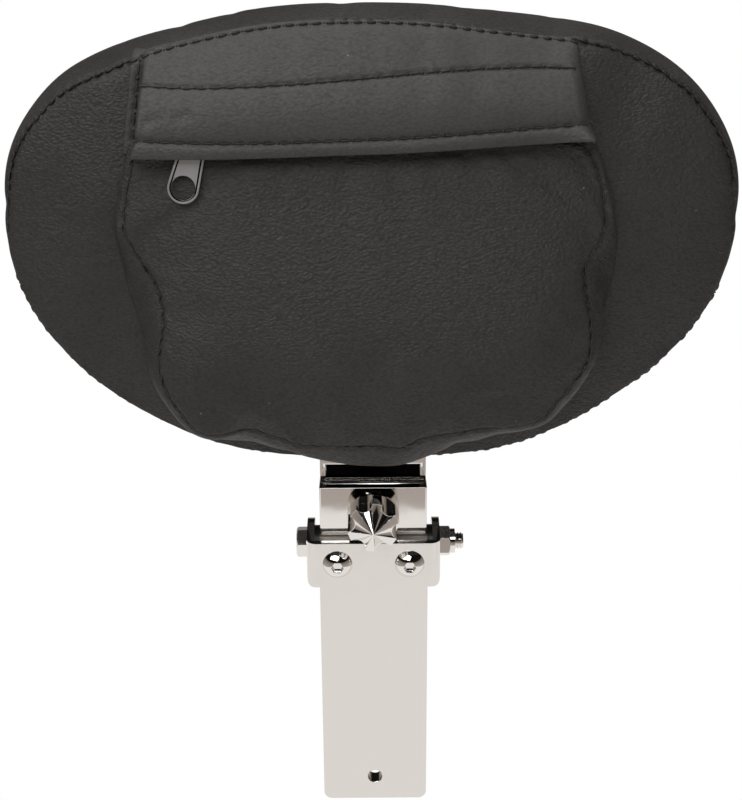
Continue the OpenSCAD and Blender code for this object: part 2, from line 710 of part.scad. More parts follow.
module front_cover() color("dimgray") loft(concat(
    [for (k = [len(dome_shares) - 1 : -1 : 0]) let (s = dome_shares[k])
        pad_ring(s, -cover_t, max(front_seam_y, front_seam_y + front_dome * dome(s) - cover_t))],
    [for (s = dome_shares) pad_ring(s, 0, front_seam_y + front_dome * dome(s))]));

// Side band between the two seams, with a slot where the blade comes out
module side_band() color("dimgray") difference() {
    outer = band_rings(0, seam_y, front_seam_y);
    inner = band_rings(cover_t, seam_y, front_seam_y);
    loft(concat(outer, [for (k = [len(inner) - 1 : -1 : 0]) inner[k]]), looped = true);
    translate([-blade_w / 2 - soft_gap, blade_y - soft_gap, pad_z - pad_drop - far / 2])
        cube([blade_w + 2 * soft_gap, blade_t + 2 * soft_gap, far / 2 + 2 * band_crown]);
}

// A grid on the pouch side between two heights, each a function of x, with its y given by depth
function yoke_grid(rows, extra) = [for (j = [0 : rows]) [for (i = [0 : columns])
    let (side = 2 * i / columns - 1,
         low_x = pouch_x + side * yoke_hw(zip_z),
         high_x = pouch_x + side * (flap_hw - yoke_narrow),
         z = mix(zip_line(low_x) + zip_edge, seam_z(high_x) - cover_t, j / rows),
         x = pouch_x + side * yoke_hw(z))
    [x, yoke_back(x, z) - extra, z]]];

module pouch_yoke() color("dimgray") sheet(yoke_grid(5, cover_t), yoke_grid(5, 0));

// The flap leaves the yoke at its upper stitching and hangs clear in front of the slider
function flap_grid(extra) = [for (t = flap_shares) [for (i = [0 : columns])
    let (side = 2 * i / columns - 1,
         low = zip_line(pouch_x + side * flap_hw) - flap_hang,
         z = low + flap_h * t,
         x = pouch_x + side * yoke_hw(z),
         top_y = yoke_back(x, low + flap_h) - cover_t - 3 * soft_gap)
    [x, mix(flap_back, top_y, smooth((t - flap_shares[1]) / (1 - flap_shares[1]))) - extra, z]]];

module zip_flap() color("dimgray") sheet(flap_grid(cover_t), flap_grid(0));

// Side and bottom wall of the pouch, open at the top below the zip
module pouch_gusset() color("dimgray") difference() {
    steps = [0, 0.35, 0.7, 1];
    loft(concat([for (t = steps) pouch_ring(1 - t, 0)], [for (t = steps) pouch_ring(t, -cover_t)]), looped = true);
    translate([-far / 2, -far / 2, zip_z - tape_w - zip_slope * pouch_hw - soft_gap]) cube(far);
}

module pouch_panel() color("dimgray") loft(concat(
    [for (s = [0.15, 0.4, 0.65, 0.85, 1]) panel_ring(s, 0)],
    [for (s = [1, 0.85, 0.65, 0.4, 0.15]) panel_ring(s, cover_t)]));

// Draw along the sloping zip line, from the chain's left end
module along_zip(x = 0) translate([chain_x, 0, zip_line(chain_x)]) rotate([0, -atan(zip_slope), 0])
    translate([x, 0, 0]) children();

module zip_tapes() color("black") along_zip() for (side = [0, 1]) mirror([0, 0, side])
    translate([-2, tape_front, 0.2]) cube([zip_len + 4, tape_t, tape_w - 0.6]);

module zip_teeth() color("darkslategray") along_zip() {
    tooth_w = tooth_pitch / 2 - 0.3;
    for (side = [0, 1], i = [0 : floor(zip_len / tooth_pitch) - 1])
        translate([i * tooth_pitch + side * tooth_pitch / 2, chain_front, 0]) mirror([0, 0, side])
            translate([0, 0, -0.8]) cube([tooth_w, tooth_t, chain_hw + 0.8]);
}

module zip_stops() color("gray") for (x = [-1.6, zip_len + 0.4]) along_zip(x)
    translate([0, chain_front, -chain_hw]) cube([1.2, tooth_t, 2 * chain_hw]);

// Slider: plate, two side flanges and a bridge whose left leg carries the pull
module zip_slider() color("gray") along_zip(slider_start) {
    half = slider_len / 2;
    wing = chain_hw + soft_gap;
    rearward() translate([0, 0, -slider_back]) linear_extrude(slider_t)
        translate([-half, -wing - wing_t]) rounded_plate(slider_len, 2 * (wing + wing_t), 2);
    for (side = [0, 1]) mirror([0, 0, side])
        translate([-half + 2, slider_back, wing]) cube([slider_len - 4, tape_front - slider_back - soft_gap, wing_t]);
    for (x = [0, half - leg_d / 2]) translate([x, slider_front, 0]) rearward()
        cylinder(d = leg_d, h = slider_front - bridge_back + bridge_t, $fn = 24);
    translate([0, bridge_back - bridge_t, -leg_d / 2]) cube([half - leg_d / 2, bridge_t, leg_d]);
}

// The pull's body below its eye, drawn in by g
module pull_body(g) {
    ring_z = pull_w / 2 - pull_len;
    ring_r = pull_w / 2 - g;
    top_hw = pull_top_w / 2 - g;
    translate([0, ring_z]) circle(ring_r);
    polygon([[-ring_r, ring_z], [ring_r, ring_z], [top_hw, -pull_shoulder - g], [-top_hw, -pull_shoulder - g]]);
}

// The pull hangs from the bridge's left leg, leaning to the left and lying against the pouch
module zip_pull() color("gray") along_zip(slider_start)
    translate([0, pull_back, 0]) rotate([0, atan(zip_slope) + pull_lean, 0]) rotate([-pull_tilt, 0, 0])
    rearward() difference() {
        linear_extrude(pull_t) difference() {
            union() {
                pull_body(0);
                translate([-neck_r, -pull_shoulder - cut]) square([2 * neck_r, pull_shoulder + cut]);
                circle(neck_r);
            }
            circle(leg_d / 2 + eye_gap);
            translate([0, pull_w / 2 - pull_len]) circle(d = pull_hole_d);
        }
        translate([0, 0, pull_t - pull_groove_depth]) linear_extrude(pull_groove_depth + cut) difference() {
            pull_body(pull_rim);
            pull_body(pull_rim + pull_groove);
        }
    }

lower_post();
pivot_bracket();
bracket_screws();
pivot_bolt();
pivot_nut();
pivot_bushes();
height_sleeve();
hinge_barrel();
clamp_nut();
clamp_knob();
knob_stud();
pressure_pad();
upright_blade();
backing_board();
board_screws();
tee_nuts();
rear_foam();
front_foam();
rear_cover();
side_band();
front_cover();
pouch_yoke();
pouch_panel();
pouch_gusset();
zip_flap();
zip_tapes();
zip_teeth();
zip_stops();
zip_slider();
zip_pull();
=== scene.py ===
# %% [markdown]
# # A motorcycle backrest
# A padded rest in black grained vinyl stands on a chromed flat bar. A folding hinge, a clamping
# sleeve and a star knob join the two, and a zipped pouch with a stitched flap sits on the rear.
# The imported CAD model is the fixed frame: every piece below is placed from its boxes, in metres.

import json
import math

import bmesh
import bpy
import numpy as np
from mathutils import Matrix, Vector
from mathutils.bvhtree import BVHTree
from mathutils.kdtree import KDTree

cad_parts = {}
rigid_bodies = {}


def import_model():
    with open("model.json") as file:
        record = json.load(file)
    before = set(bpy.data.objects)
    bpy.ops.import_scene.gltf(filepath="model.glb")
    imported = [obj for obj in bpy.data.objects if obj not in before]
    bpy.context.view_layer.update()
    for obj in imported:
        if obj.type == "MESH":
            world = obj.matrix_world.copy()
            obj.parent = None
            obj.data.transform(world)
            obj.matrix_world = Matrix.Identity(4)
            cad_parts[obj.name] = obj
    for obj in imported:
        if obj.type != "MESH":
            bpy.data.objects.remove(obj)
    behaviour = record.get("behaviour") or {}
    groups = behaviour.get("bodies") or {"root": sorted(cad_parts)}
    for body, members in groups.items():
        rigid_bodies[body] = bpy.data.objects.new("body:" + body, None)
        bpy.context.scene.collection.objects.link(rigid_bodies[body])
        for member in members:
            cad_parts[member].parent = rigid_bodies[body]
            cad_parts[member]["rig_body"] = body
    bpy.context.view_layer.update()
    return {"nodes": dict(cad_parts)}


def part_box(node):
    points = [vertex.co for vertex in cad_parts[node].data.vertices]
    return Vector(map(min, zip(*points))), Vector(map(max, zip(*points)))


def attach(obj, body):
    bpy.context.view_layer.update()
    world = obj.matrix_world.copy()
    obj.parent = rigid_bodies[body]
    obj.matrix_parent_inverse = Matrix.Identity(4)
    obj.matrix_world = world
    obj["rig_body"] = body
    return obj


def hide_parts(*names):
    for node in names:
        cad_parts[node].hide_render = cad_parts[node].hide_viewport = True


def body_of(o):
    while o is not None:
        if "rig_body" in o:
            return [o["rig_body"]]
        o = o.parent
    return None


MM = 0.001
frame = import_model()

# %% [markdown]
# ## Colours and nodes
# Two small helpers serve every finish. Colours are written as the sRGB hex values that one reads
# off a screen and turned to linear light once, here. Nodes are added in one line each, with their
# settings and with links to the outputs that feed them.


# %% Helpers for materials
def linear(hex_colour):
    channels = [int(hex_colour[i:i + 2], 16) / 255 for i in (1, 3, 5)]
    return tuple(c / 12.92 if c <= 0.04045 else ((c + 0.055) / 1.055) ** 2.4 for c in channels) + (1.0,)


def add(tree, kind, inputs=None, **settings):
    node = tree.nodes.new(kind)
    for name, value in settings.items():
        setattr(node, name, value)
    for name, value in (inputs or {}).items():
        if isinstance(value, bpy.types.NodeSocket):
            tree.links.new(value, node.inputs[name])
        else:
            node.inputs[name].default_value = value
    return node


def new_finish(name, **shader_values):
    material = bpy.data.materials.new(name)
    material.use_nodes = True
    shader = material.node_tree.nodes["Principled BSDF"]
    for socket, value in shader_values.items():
        shader.inputs[socket.replace("_", " ")].default_value = value
    return material, material.node_tree, shader


def ramp(tree, factor, stops):
    node = add(tree, "ShaderNodeValToRGB", {"Fac": factor})
    elements = node.color_ramp.elements
    while len(elements) < len(stops):
        elements.new(0.5)
    for element, (place, colour) in zip(elements, stops):
        element.position = place
        element.color = linear(colour)
    return node.outputs["Color"]


print("white is", linear("#ffffff"), "and mid grey", [round(c, 3) for c in linear("#808080")[:3]])

# %% [markdown]
# ## Vinyl
# The covers are upholstery vinyl: cloth-backed PVC with a leather grain rolled into it. Its pebbles
# are about 1 mm across, with finer wrinkles between them, and it shines softly where it is
# stretched. Cells of a Voronoi pattern, bent by noise so that no two are alike, give the grain,
# and the base colour darkens between the pebbles as painted shade, with random patches of tone.
# A few specks of pale lint cling to it, as in the photograph.


# %% Grained vinyl
PEBBLE = 0.95 * MM
WRINKLE = 2.3 * MM
LINT_SPACING = 13 * MM
LINT_SIZE = 0.22 * MM


def grained_vinyl(name, dark, light, grain=1.0):
    material, tree, shader = new_finish(name, Roughness=0.5, IOR=1.5)
    place = add(tree, "ShaderNodeTexCoord").outputs["Object"]
    bend = add(tree, "ShaderNodeTexNoise", {"Vector": place, "Scale": 1 / (3 * MM), "Detail": 2.0})
    bent = add(tree, "ShaderNodeVectorMath",
               {0: bend.outputs["Color"], 1: (1.1 * PEBBLE,) * 3, 2: place}, operation="MULTIPLY_ADD")
    drawn = add(tree, "ShaderNodeMapping", {"Vector": bent.outputs["Vector"], "Scale": (0.65, 1, 1)})
    cells = add(tree, "ShaderNodeTexVoronoi",
                {"Vector": drawn.outputs["Vector"], "Scale": 1 / PEBBLE}, feature="SMOOTH_F1")
    wrinkles = add(tree, "ShaderNodeTexNoise",
                   {"Vector": drawn.outputs["Vector"], "Scale": 1 / WRINKLE, "Detail": 6.0, "Roughness": 0.62, "Distortion": 0.8})
    patches = add(tree, "ShaderNodeTexNoise", {"Vector": place, "Scale": 1 / (45 * MM), "Detail": 3.0})
    valley = add(tree, "ShaderNodeMapRange",
                 {"Value": cells.outputs["Distance"], "From Min": 0.15, "From Max": 0.75,
                  "To Min": 1.0, "To Max": 0.0})
    height = add(tree, "ShaderNodeMath",
                 {0: wrinkles.outputs["Fac"], 1: 1.6, 2: valley.outputs["Result"]}, operation="MULTIPLY_ADD")
    relief = add(tree, "ShaderNodeMapRange",
                 {"Value": patches.outputs["Fac"], "From Min": 0.38, "From Max": 0.6,
                  "To Min": 0.2 * grain, "To Max": 0.55 * grain})
    bump = add(tree, "ShaderNodeBump",
               {"Height": height.outputs["Value"], "Strength": relief.outputs["Result"], "Distance": 0.4 * MM})
    # Painted shade: the base colour darkens in the crevices between pebbles; the slow patches are random tone
    crevice_shade_and_tone = add(tree, "ShaderNodeMath",
               {0: valley.outputs["Result"], 1: 0.45, 2: patches.outputs["Fac"]}, operation="MULTIPLY_ADD")
    colour = ramp(tree, crevice_shade_and_tone.outputs["Value"], [(0.3, dark), (0.95, light)])
    gloss = add(tree, "ShaderNodeMapRange",
                {"Value": valley.outputs["Result"], "To Min": 0.72, "To Max": 0.54})
    lint = add(tree, "ShaderNodeTexVoronoi", {"Vector": place, "Scale": 1 / LINT_SPACING}, feature="F1")
    speck = add(tree, "ShaderNodeMath",
                {0: lint.outputs["Distance"], 1: LINT_SIZE / LINT_SPACING}, operation="LESS_THAN")
    dusted = add(tree, "ShaderNodeMixRGB", {0: speck.outputs["Value"], 1: colour, 2: linear("#807c78")})
    tree.links.new(dusted.outputs["Color"], shader.inputs["Base Color"])
    tree.links.new(gloss.outputs["Result"], shader.inputs["Roughness"])
    tree.links.new(bump.outputs["Normal"], shader.inputs["Normal"])
    return material


VINYL = grained_vinyl("grained_upholstery_vinyl", "#151413", "#232120", grain=1.7)
# Painted light: a lighter copy of the same vinyl, for the light that the upward-facing flap catches; its calmer grain
# is the stretched sheet
VINYL_CALM_PAINTED_LIGHTER = grained_vinyl("stretched_vinyl_painted_lighter", "#252322", "#2e2c2b", grain=0.7)
print("vinyl grain:", round(PEBBLE / MM, 2), "mm pebbles")

# %% [markdown]
# ## Chrome
# The bar, bracket, sleeve, blade, screws and knob are steel, polished and then chrome plated. Chrome
# has almost no colour of its own: what the eye sees is the white table below and the dark room
# above. A very weak, wide bump keeps those reflections from being perfectly straight, as on
# real polished bar, and fine noise in the roughness stands for wiping marks.


# %% Chrome and other metals
def plated_metal(name, colour, roughness, haze=0.03, wave=0.25, wave_size=14 * MM):
    material, tree, shader = new_finish(name, Base_Color=linear(colour), Metallic=1.0)
    place = add(tree, "ShaderNodeTexCoord").outputs["Object"]
    smear = add(tree, "ShaderNodeTexNoise",
                {"Vector": place, "Scale": 1 / (9 * MM), "Detail": 5.0, "Roughness": 0.6})
    swell = add(tree, "ShaderNodeTexNoise", {"Vector": place, "Scale": 1 / wave_size, "Detail": 1.0})
    rough = add(tree, "ShaderNodeMapRange",
                {"Value": smear.outputs["Fac"], "From Min": 0.3, "From Max": 0.7,
                 "To Min": roughness, "To Max": roughness + haze})
    bump = add(tree, "ShaderNodeBump",
               {"Height": swell.outputs["Fac"], "Strength": wave, "Distance": 0.12 * MM})
    tree.links.new(rough.outputs["Result"], shader.inputs["Roughness"])
    tree.links.new(bump.outputs["Normal"], shader.inputs["Normal"])
    return material


def cut_end_chrome(name):
    material, tree, shader = new_finish(name, Base_Color=linear("#c4bdb6"), Metallic=1.0, Roughness=0.6)
    place = add(tree, "ShaderNodeTexCoord").outputs["Object"]
    lumps = add(tree, "ShaderNodeTexNoise",
                {"Vector": place, "Scale": 1 / (1.4 * MM), "Detail": 5.0, "Roughness": 0.7})
    bump = add(tree, "ShaderNodeBump",
               {"Height": lumps.outputs["Fac"], "Strength": 1.0, "Distance": 0.9 * MM})
    tree.links.new(bump.outputs["Normal"], shader.inputs["Normal"])
    return material


CHROME_BAR = plated_metal("polished_chrome_bar", "#e9e6e2", 0.09, haze=0.05)
CHROME_BRIGHT = plated_metal("bright_chrome", "#efedea", 0.035, haze=0.02, wave=0.2)
CHROME_CUT = cut_end_chrome("chrome_over_saw_cut")
ZINC = plated_metal("zinc_plated_steel", "#b8b7b3", 0.3, haze=0.12)
BRASS = plated_metal("turned_brass", "#c9a15a", 0.25)
NICKEL = plated_metal("satin_nickel_plate", "#ccced0", 0.3, haze=0.08, wave=0.35, wave_size=5 * MM)
# Painted shade: a black finish laid in the blade's recess and the zip pull's sunk groove, for the shade and dark
# reflection that fall there
PAINTED_SHADE_BLACK = plated_metal("painted_shade_black", "#0b0a0a", 0.12)
print("metals:", [m.name for m in (CHROME_BAR, CHROME_BRIGHT, CHROME_CUT, ZINC, BRASS, NICKEL, PAINTED_SHADE_BLACK)])

# %% [markdown]
# ## Thread, zip, plywood and foam
# These are small or hidden, but each still gets the structure of the real thing: twisted thread,
# woven tape, moulded nylon, veneer layers and open foam cells.


# %% Other finishes
def bumped(name, colour, second, roughness, size, depth, kind="ShaderNodeTexNoise", stretch=(1, 1, 1)):
    material, tree, shader = new_finish(name, Roughness=roughness)
    place = add(tree, "ShaderNodeTexCoord").outputs["Object"]
    scaled = add(tree, "ShaderNodeMapping", {"Vector": place, "Scale": stretch})
    pattern = add(tree, kind, {"Vector": scaled.outputs["Vector"], "Scale": 1 / size})
    value = pattern.outputs[0]
    bump = add(tree, "ShaderNodeBump", {"Height": value, "Strength": 0.7, "Distance": depth})
    tree.links.new(ramp(tree, value, [(0.3, colour), (0.7, second)]), shader.inputs["Base Color"])
    tree.links.new(bump.outputs["Normal"], shader.inputs["Normal"])
    return material


THREAD = bumped("bonded_polyester_thread", "#0d0c0c", "#1f1d1d", 0.55, 0.5 * MM, 0.1 * MM)
TAPE = bumped("woven_zip_tape", "#141313", "#232222", 0.8, 0.6 * MM, 0.15 * MM, "ShaderNodeTexVoronoi")
NYLON = bumped("moulded_nylon", "#1b1a1a", "#252424", 0.35, 2 * MM, 0.03 * MM)
PLASTIC = bumped("black_nylon_washer", "#141414", "#1e1e1e", 0.42, 1.5 * MM, 0.04 * MM)
PLY = bumped("birch_plywood", "#b98f5c", "#d5b07c", 0.7, 6 * MM, 0.2 * MM, stretch=(1, 1, 9))
FOAM = bumped("open_cell_foam", "#c9bd86", "#e2d8a6", 0.95, 1.6 * MM, 0.6 * MM, "ShaderNodeTexVoronoi")
print("soft finishes:", [m.name for m in (THREAD, TAPE, NYLON, PLASTIC, PLY, FOAM)])

# %% [markdown]
# ## Studio
# The object was photographed over a white table in a darker room, then cut out on white. So the
# table is a real plane well below the post: it shows pale in every downward-looking chrome face
# down to a sharp line at its edge, and the dark room shows above that line. To the camera both the
# table and the world are plain white. The large softbox hangs high on the left, where only the
# knob and the screws' domes mirror it: in the photograph every flat chrome top is black.

# %% Table, world and lamps
TABLE_DROP = 0.42
TABLE_HALF = 1.23


def table_material():
    material, tree, shader = new_finish("white_table", Base_Color=linear("#f4f3f1"), Roughness=0.9)
    rays = add(tree, "ShaderNodeLightPath")
    seen = add(tree, "ShaderNodeMath",
               {0: rays.outputs["Is Glossy Ray"], 1: rays.outputs["Is Transmission Ray"]}, operation="MAXIMUM")
    pale = add(tree, "ShaderNodeEmission", {"Color": linear("#f6f3f0"), "Strength": 0.93})
    white = add(tree, "ShaderNodeEmission", {"Color": (1, 1, 1, 1), "Strength": 1.0})
    lit = add(tree, "ShaderNodeMixShader",
              {0: seen.outputs["Value"], 1: shader.outputs["BSDF"], 2: pale.outputs["Emission"]})
    shown = add(tree, "ShaderNodeMixShader",
                {0: rays.outputs["Is Camera Ray"], 1: lit.outputs["Shader"], 2: white.outputs["Emission"]})
    tree.links.new(shown.outputs["Shader"], tree.nodes["Material Output"].inputs["Surface"])
    return material


table_mesh = bpy.data.meshes.new("table")
table_mesh.from_pydata([(x * TABLE_HALF, y * TABLE_HALF, -TABLE_DROP)
                        for x, y in ((-1, -1), (1, -1), (1, 1), (-1, 1))], [], [(0, 1, 2, 3)])
table = bpy.data.objects.new("table", table_mesh)
bpy.context.scene.collection.objects.link(table)
table.data.materials.append(table_material())

world = bpy.data.worlds.new("studio")
bpy.context.scene.world = world
world.use_nodes = True
sky = world.node_tree
rays = add(sky, "ShaderNodeLightPath")
glossy = add(sky, "ShaderNodeMath",
             {0: rays.outputs["Is Glossy Ray"], 1: rays.outputs["Is Transmission Ray"]}, operation="MAXIMUM")
direction = add(sky, "ShaderNodeSeparateXYZ", {"Vector": add(sky, "ShaderNodeTexCoord").outputs["Generated"]})
room = ramp(sky, add(sky, "ShaderNodeMapRange", {"Value": direction.outputs["Z"], "From Min": -0.5,
                                                 "From Max": 1.0}).outputs["Result"],
            [(0.0, "#b3aaa4"), (0.2, "#9d948e"), (0.33, "#8a827c"), (0.44, "#776f69"),
             (0.5, "#161413"), (1.0, "#0c0b0b")])
ambient = add(sky, "ShaderNodeMixRGB", {0: glossy.outputs["Value"], 1: (0.4, 0.4, 0.4, 1), 2: room})
backdrop = add(sky, "ShaderNodeMixRGB",
               {0: rays.outputs["Is Camera Ray"], 1: ambient.outputs["Color"], 2: (1, 1, 1, 1)})
sky.links.new(backdrop.outputs["Color"], sky.nodes["Background"].inputs["Color"])


def softbox(name, place, aim, size, watts, mirrored):
    lamp = bpy.data.lights.new(name, "AREA")
    lamp.shape = "RECTANGLE"
    lamp.size, lamp.size_y = size
    lamp.energy = watts
    holder = bpy.data.objects.new(name, lamp)
    holder.location = place
    holder.rotation_euler = (Vector(aim) - Vector(place)).to_track_quat("-Z", "Y").to_euler()
    holder.visible_glossy = mirrored
    bpy.context.scene.collection.objects.link(holder)


softbox("high_softbox", (-0.6, -1.05, 1.5), (0, 0, 0.25), (1.9, 1.1), 26, mirrored=True)
softbox("overhead_fill", (0, 0.3, 1.6), (0, 0, 0.3), (1.2, 1.2), 50, mirrored=False)
softbox("rear_fill", (0.4, 1.5, 0.7), (0, 0, 0.25), (1.2, 1.0), 9, mirrored=False)
softbox("right_fill", (1.2, -1.2, 0.8), (0, 0, 0.25), (1.2, 1.1), 7, mirrored=False)
bpy.context.scene.view_settings.view_transform = "Standard"
print("table", TABLE_DROP, "m below the lock hole; its edge is", TABLE_HALF, "m out")

# %% [markdown]
# ## Camera
# The photograph looks down at the rest by about 20 degrees from just over half a metre, which is
# why the post narrows towards its foot and the pad's top edge shows. The focal length is the
# photograph's 1350 pixels, written for a 36 mm sensor across its longer side of 800 pixels.

# %% Camera
PHOTO_HEIGHT = 800
FOCAL_PIXELS = 1350
lens = bpy.data.cameras.new("photo_camera")
lens.sensor_width = 36
lens.lens = lens.sensor_width * FOCAL_PIXELS / PHOTO_HEIGHT
camera = bpy.data.objects.new("photo_camera", lens)
camera.matrix_world = (Matrix.Translation((-0.64 * MM, -572.3 * MM, 406.3 * MM))
                       @ Matrix.Rotation(math.radians(70), 4, "X")
                       @ Matrix.Rotation(math.radians(-0.43), 4, "Z"))
bpy.context.scene.collection.objects.link(camera)
bpy.context.scene.camera = camera
print("lens", round(lens.lens, 2), "mm")

# %% [markdown]
# ## Metal pieces
# The solids already have the right shape, but their edges are knife sharp. Real plated parts have
# small rounded edges, and those catch the light. So each metal piece is a copy of its solid with
# its triangles merged, a fine bevel, and smooth shading that stops at true corners.


# %% Bevelled copies of the metal solids
def placed(name, mesh, body, finish):
    piece = bpy.data.objects.new(name, mesh)
    bpy.context.scene.collection.objects.link(piece)
    piece.data.materials.clear()
    piece.data.materials.append(finish)
    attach(piece, body)
    return piece


def baked(piece):
    """The piece's mesh with its modifiers applied; the modifiers are removed."""
    bpy.context.view_layer.update()
    evaluated = piece.evaluated_get(bpy.context.evaluated_depsgraph_get())
    mesh = bpy.data.meshes.new_from_object(evaluated)
    piece.modifiers.clear()
    old = piece.data
    piece.data = mesh
    bpy.data.meshes.remove(old)
    return piece


def merged_copy(node):
    source = frame["nodes"][node]
    form = bmesh.new()
    form.from_mesh(source.data)
    bmesh.ops.remove_doubles(form, verts=form.verts, dist=0.002 * MM)
    bmesh.ops.dissolve_limit(form, angle_limit=math.radians(0.8), verts=form.verts, edges=form.edges)
    mesh = bpy.data.meshes.new(node + "_metal")
    form.to_mesh(mesh)
    form.free()
    return mesh


def bevelled(node, finish, width=0.35 * MM, angle=35):
    piece = placed(node + "_metal", merged_copy(node), body_of(frame["nodes"][node])[0], finish)
    bevel = piece.modifiers.new("Edges", "BEVEL")
    bevel.width = width
    bevel.segments = 2
    bevel.limit_method = "ANGLE"
    bevel.angle_limit = math.radians(angle)
    piece.data.shade_smooth()
    piece.data.set_sharp_from_angle(angle=math.radians(60))
    flat = piece.modifiers.new("Flat faces stay flat", "WEIGHTED_NORMAL")
    flat.weight = 100
    flat.keep_sharp = True
    baked(piece)
    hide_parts(node)
    return piece


metal = {}
for node, finish, slot, width in (
        ("lower_post", CHROME_BAR, "chrome_bar", 0.45), ("pivot_bracket", CHROME_BAR, "chrome_bar", 0.4),
        ("height_sleeve", CHROME_BRIGHT, "chrome_bar", 0.35), ("upright_blade", CHROME_BRIGHT, "chrome_bar", 0.2),
        ("clamp_knob", CHROME_BRIGHT, "chrome_knob", 0.18), ("bracket_screws", CHROME_BRIGHT, "chrome_fasteners", 0.12),
        ("pivot_bolt", CHROME_BRIGHT, "chrome_fasteners", 0.12),
        ("pivot_nut", CHROME_BRIGHT, "chrome_fasteners", 0.2), ("zip_slider", NICKEL, "zip_metal", 0.15),
        ("zip_pull", NICKEL, "zip_metal", 0.12)):
    metal[node] = bevelled(node, finish, width * MM)
    print(node, len(metal[node].data.polygons), "faces")

post = metal["lower_post"].data
post.materials.append(CHROME_CUT)
post_top = max(v.co.z for v in post.vertices)
for face in post.polygons:
    if face.normal.z > 0.9 and face.center.z > post_top - 0.1 * MM and abs(face.center.x) < 19.5 * MM:
        face.material_index = 1

# Painted shade: the floor of the pull's sunk groove gets the black finish, for the shade in it
pull = metal["zip_pull"].data
pull.materials.append(PAINTED_SHADE_BLACK)
broad = max(pull.polygons, key=lambda face: -face.normal.y * face.area)
level = broad.normal.dot(broad.center)
for face in pull.polygons:
    sunk = level - broad.normal.dot(face.center)
    if face.normal.dot(broad.normal) > 0.95 and 0.2 * MM < sunk < 0.6 * MM:
        face.material_index = 1

# Painted shade: the blade's recess floor and walls above the sleeve get the black finish, for the shade and dark
# reflection under the pad
blade = metal["upright_blade"].data
blade.materials.append(PAINTED_SHADE_BLACK)
blade_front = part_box("upright_blade")[0].y
recess_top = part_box("height_sleeve")[1].z + 12 * MM
for face in blade.polygons:
    depth = face.center.y - blade_front
    floor = face.normal.y < -0.95 and depth > 0.8 * MM
    wall = abs(face.normal.y) < 0.5 and depth < 0.9 * MM and abs(face.center.x) < 24 * MM
    if recess_top - 13 * MM < face.center.z < recess_top and depth < 1.5 * MM and (floor or wall):
        face.material_index = 1

# %% Finishes for the solids that stay
for node, finish in (("pivot_bushes", PLASTIC), ("hinge_barrel", ZINC), ("clamp_nut", CHROME_BRIGHT),
                     ("knob_stud", ZINC), ("pressure_pad", BRASS), ("backing_board", PLY),
                     ("board_screws", ZINC), ("tee_nuts", ZINC),
                     ("zip_tapes", TAPE), ("zip_teeth", NYLON), ("zip_stops", NICKEL)):
    frame["nodes"][node].data.materials.clear()
    frame["nodes"][node].data.materials.append(finish)

# %% [markdown]
# ## Foam
# Glued foam fills the covers. Nothing of it shows, so its two solids are copied as they are and
# only drawn in a little, which leaves room for the seams that are pressed into the covers.

# %% Foam cores
FOAM_SHARE = 0.975
FOAM_THICK = 0.93
for node in ("rear_foam", "front_foam"):
    mesh = merged_copy(node)
    low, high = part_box(node)
    middle = (low + high) / 2
    middle.y = high.y if node == "rear_foam" else low.y
    mesh.transform(Matrix.Translation(middle) @ Matrix.Diagonal((FOAM_SHARE, FOAM_THICK, FOAM_SHARE, 1))
                   @ Matrix.Translation(-middle))
    core = placed(node + "_core", mesh, "backrest", FOAM)
    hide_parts(node)
    print(core.name, "drawn in to", FOAM_SHARE)

# %% [markdown]
# ## The pad's outline
# Seen from the rear the pad is a broad oval, squarer above than below, so two half superellipses
# meet at its middle line. Points are spaced by length along the outline, because equal steps of
# angle would crowd them at the bottom.

# %% Outline of the pad
seam_low, seam_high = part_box("rear_cover")
front_low, front_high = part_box("front_cover")
PAD_RISE = 76.2 * MM
PAD_HALF = (seam_high.x - seam_low.x) / 2
PAD_MIDDLE = seam_high.z - PAD_RISE
PAD_DROP = PAD_MIDDLE - seam_low.z
REAR_SEAM = seam_high.y
FRONT_SEAM = front_low.y
REAR_DOME = REAR_SEAM - seam_low.y
FRONT_DOME = front_high.y - FRONT_SEAM
BAND_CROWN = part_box("side_band")[1].x - PAD_HALF
UPPER_EXP, LOWER_EXP = 2.4, 2.18
# How far the hand-cut outline strays from the even oval, in mm, by direction in degrees
STRAY = {-75: 2.2, -62: 3.4, -50: 2.2, -38: 0.2, -27: 0.5, -15: 1.8, 0: 1.4, 13: 0.6, 24: 3.2, 34: 4.1,
         45: 1.4, 56: 0, 72: 0.4, 100: 1.0, 124: 0.9, 138: -0.4, 149: 0.8, 157: 2.2, 166: 0.3, 176: 0.2,
         190: 1.8, 205: 1.2, 222: 1.5, 238: 2.8, 253: 1.9, 270: 0.6, 285: 2.2, 298: 3.4}
# How far the rear seam is drawn in from that outline
TUCK = {-75: 0, 20: 0.8, 45: 1.2, 60: 0, 125: 0, 144: 1.0, 152: 3.6, 158: 3.0, 166: 0.8, 180: 0, 298: 0}


def by_direction(table, x, up):
    """A length that changes smoothly with the direction from the pad's middle, in metres."""
    turn = np.degrees(np.arctan2(up, x)) % 360
    turn = np.where(turn > 290, turn - 360, turn)
    places, values = np.array(list(table), float), np.array(list(table.values())) * MM
    slopes = np.gradient(values, places)
    step = np.clip(np.searchsorted(places, turn) - 1, 0, len(places) - 2)
    width = places[step + 1] - places[step]
    t = (turn - places[step]) / width
    return (values[step] * (1 + 2 * t) * (1 - t) ** 2 + values[step + 1] * t * t * (3 - 2 * t)
            + width * (slopes[step] * t * (1 - t) ** 2 - slopes[step + 1] * t * t * (1 - t)))


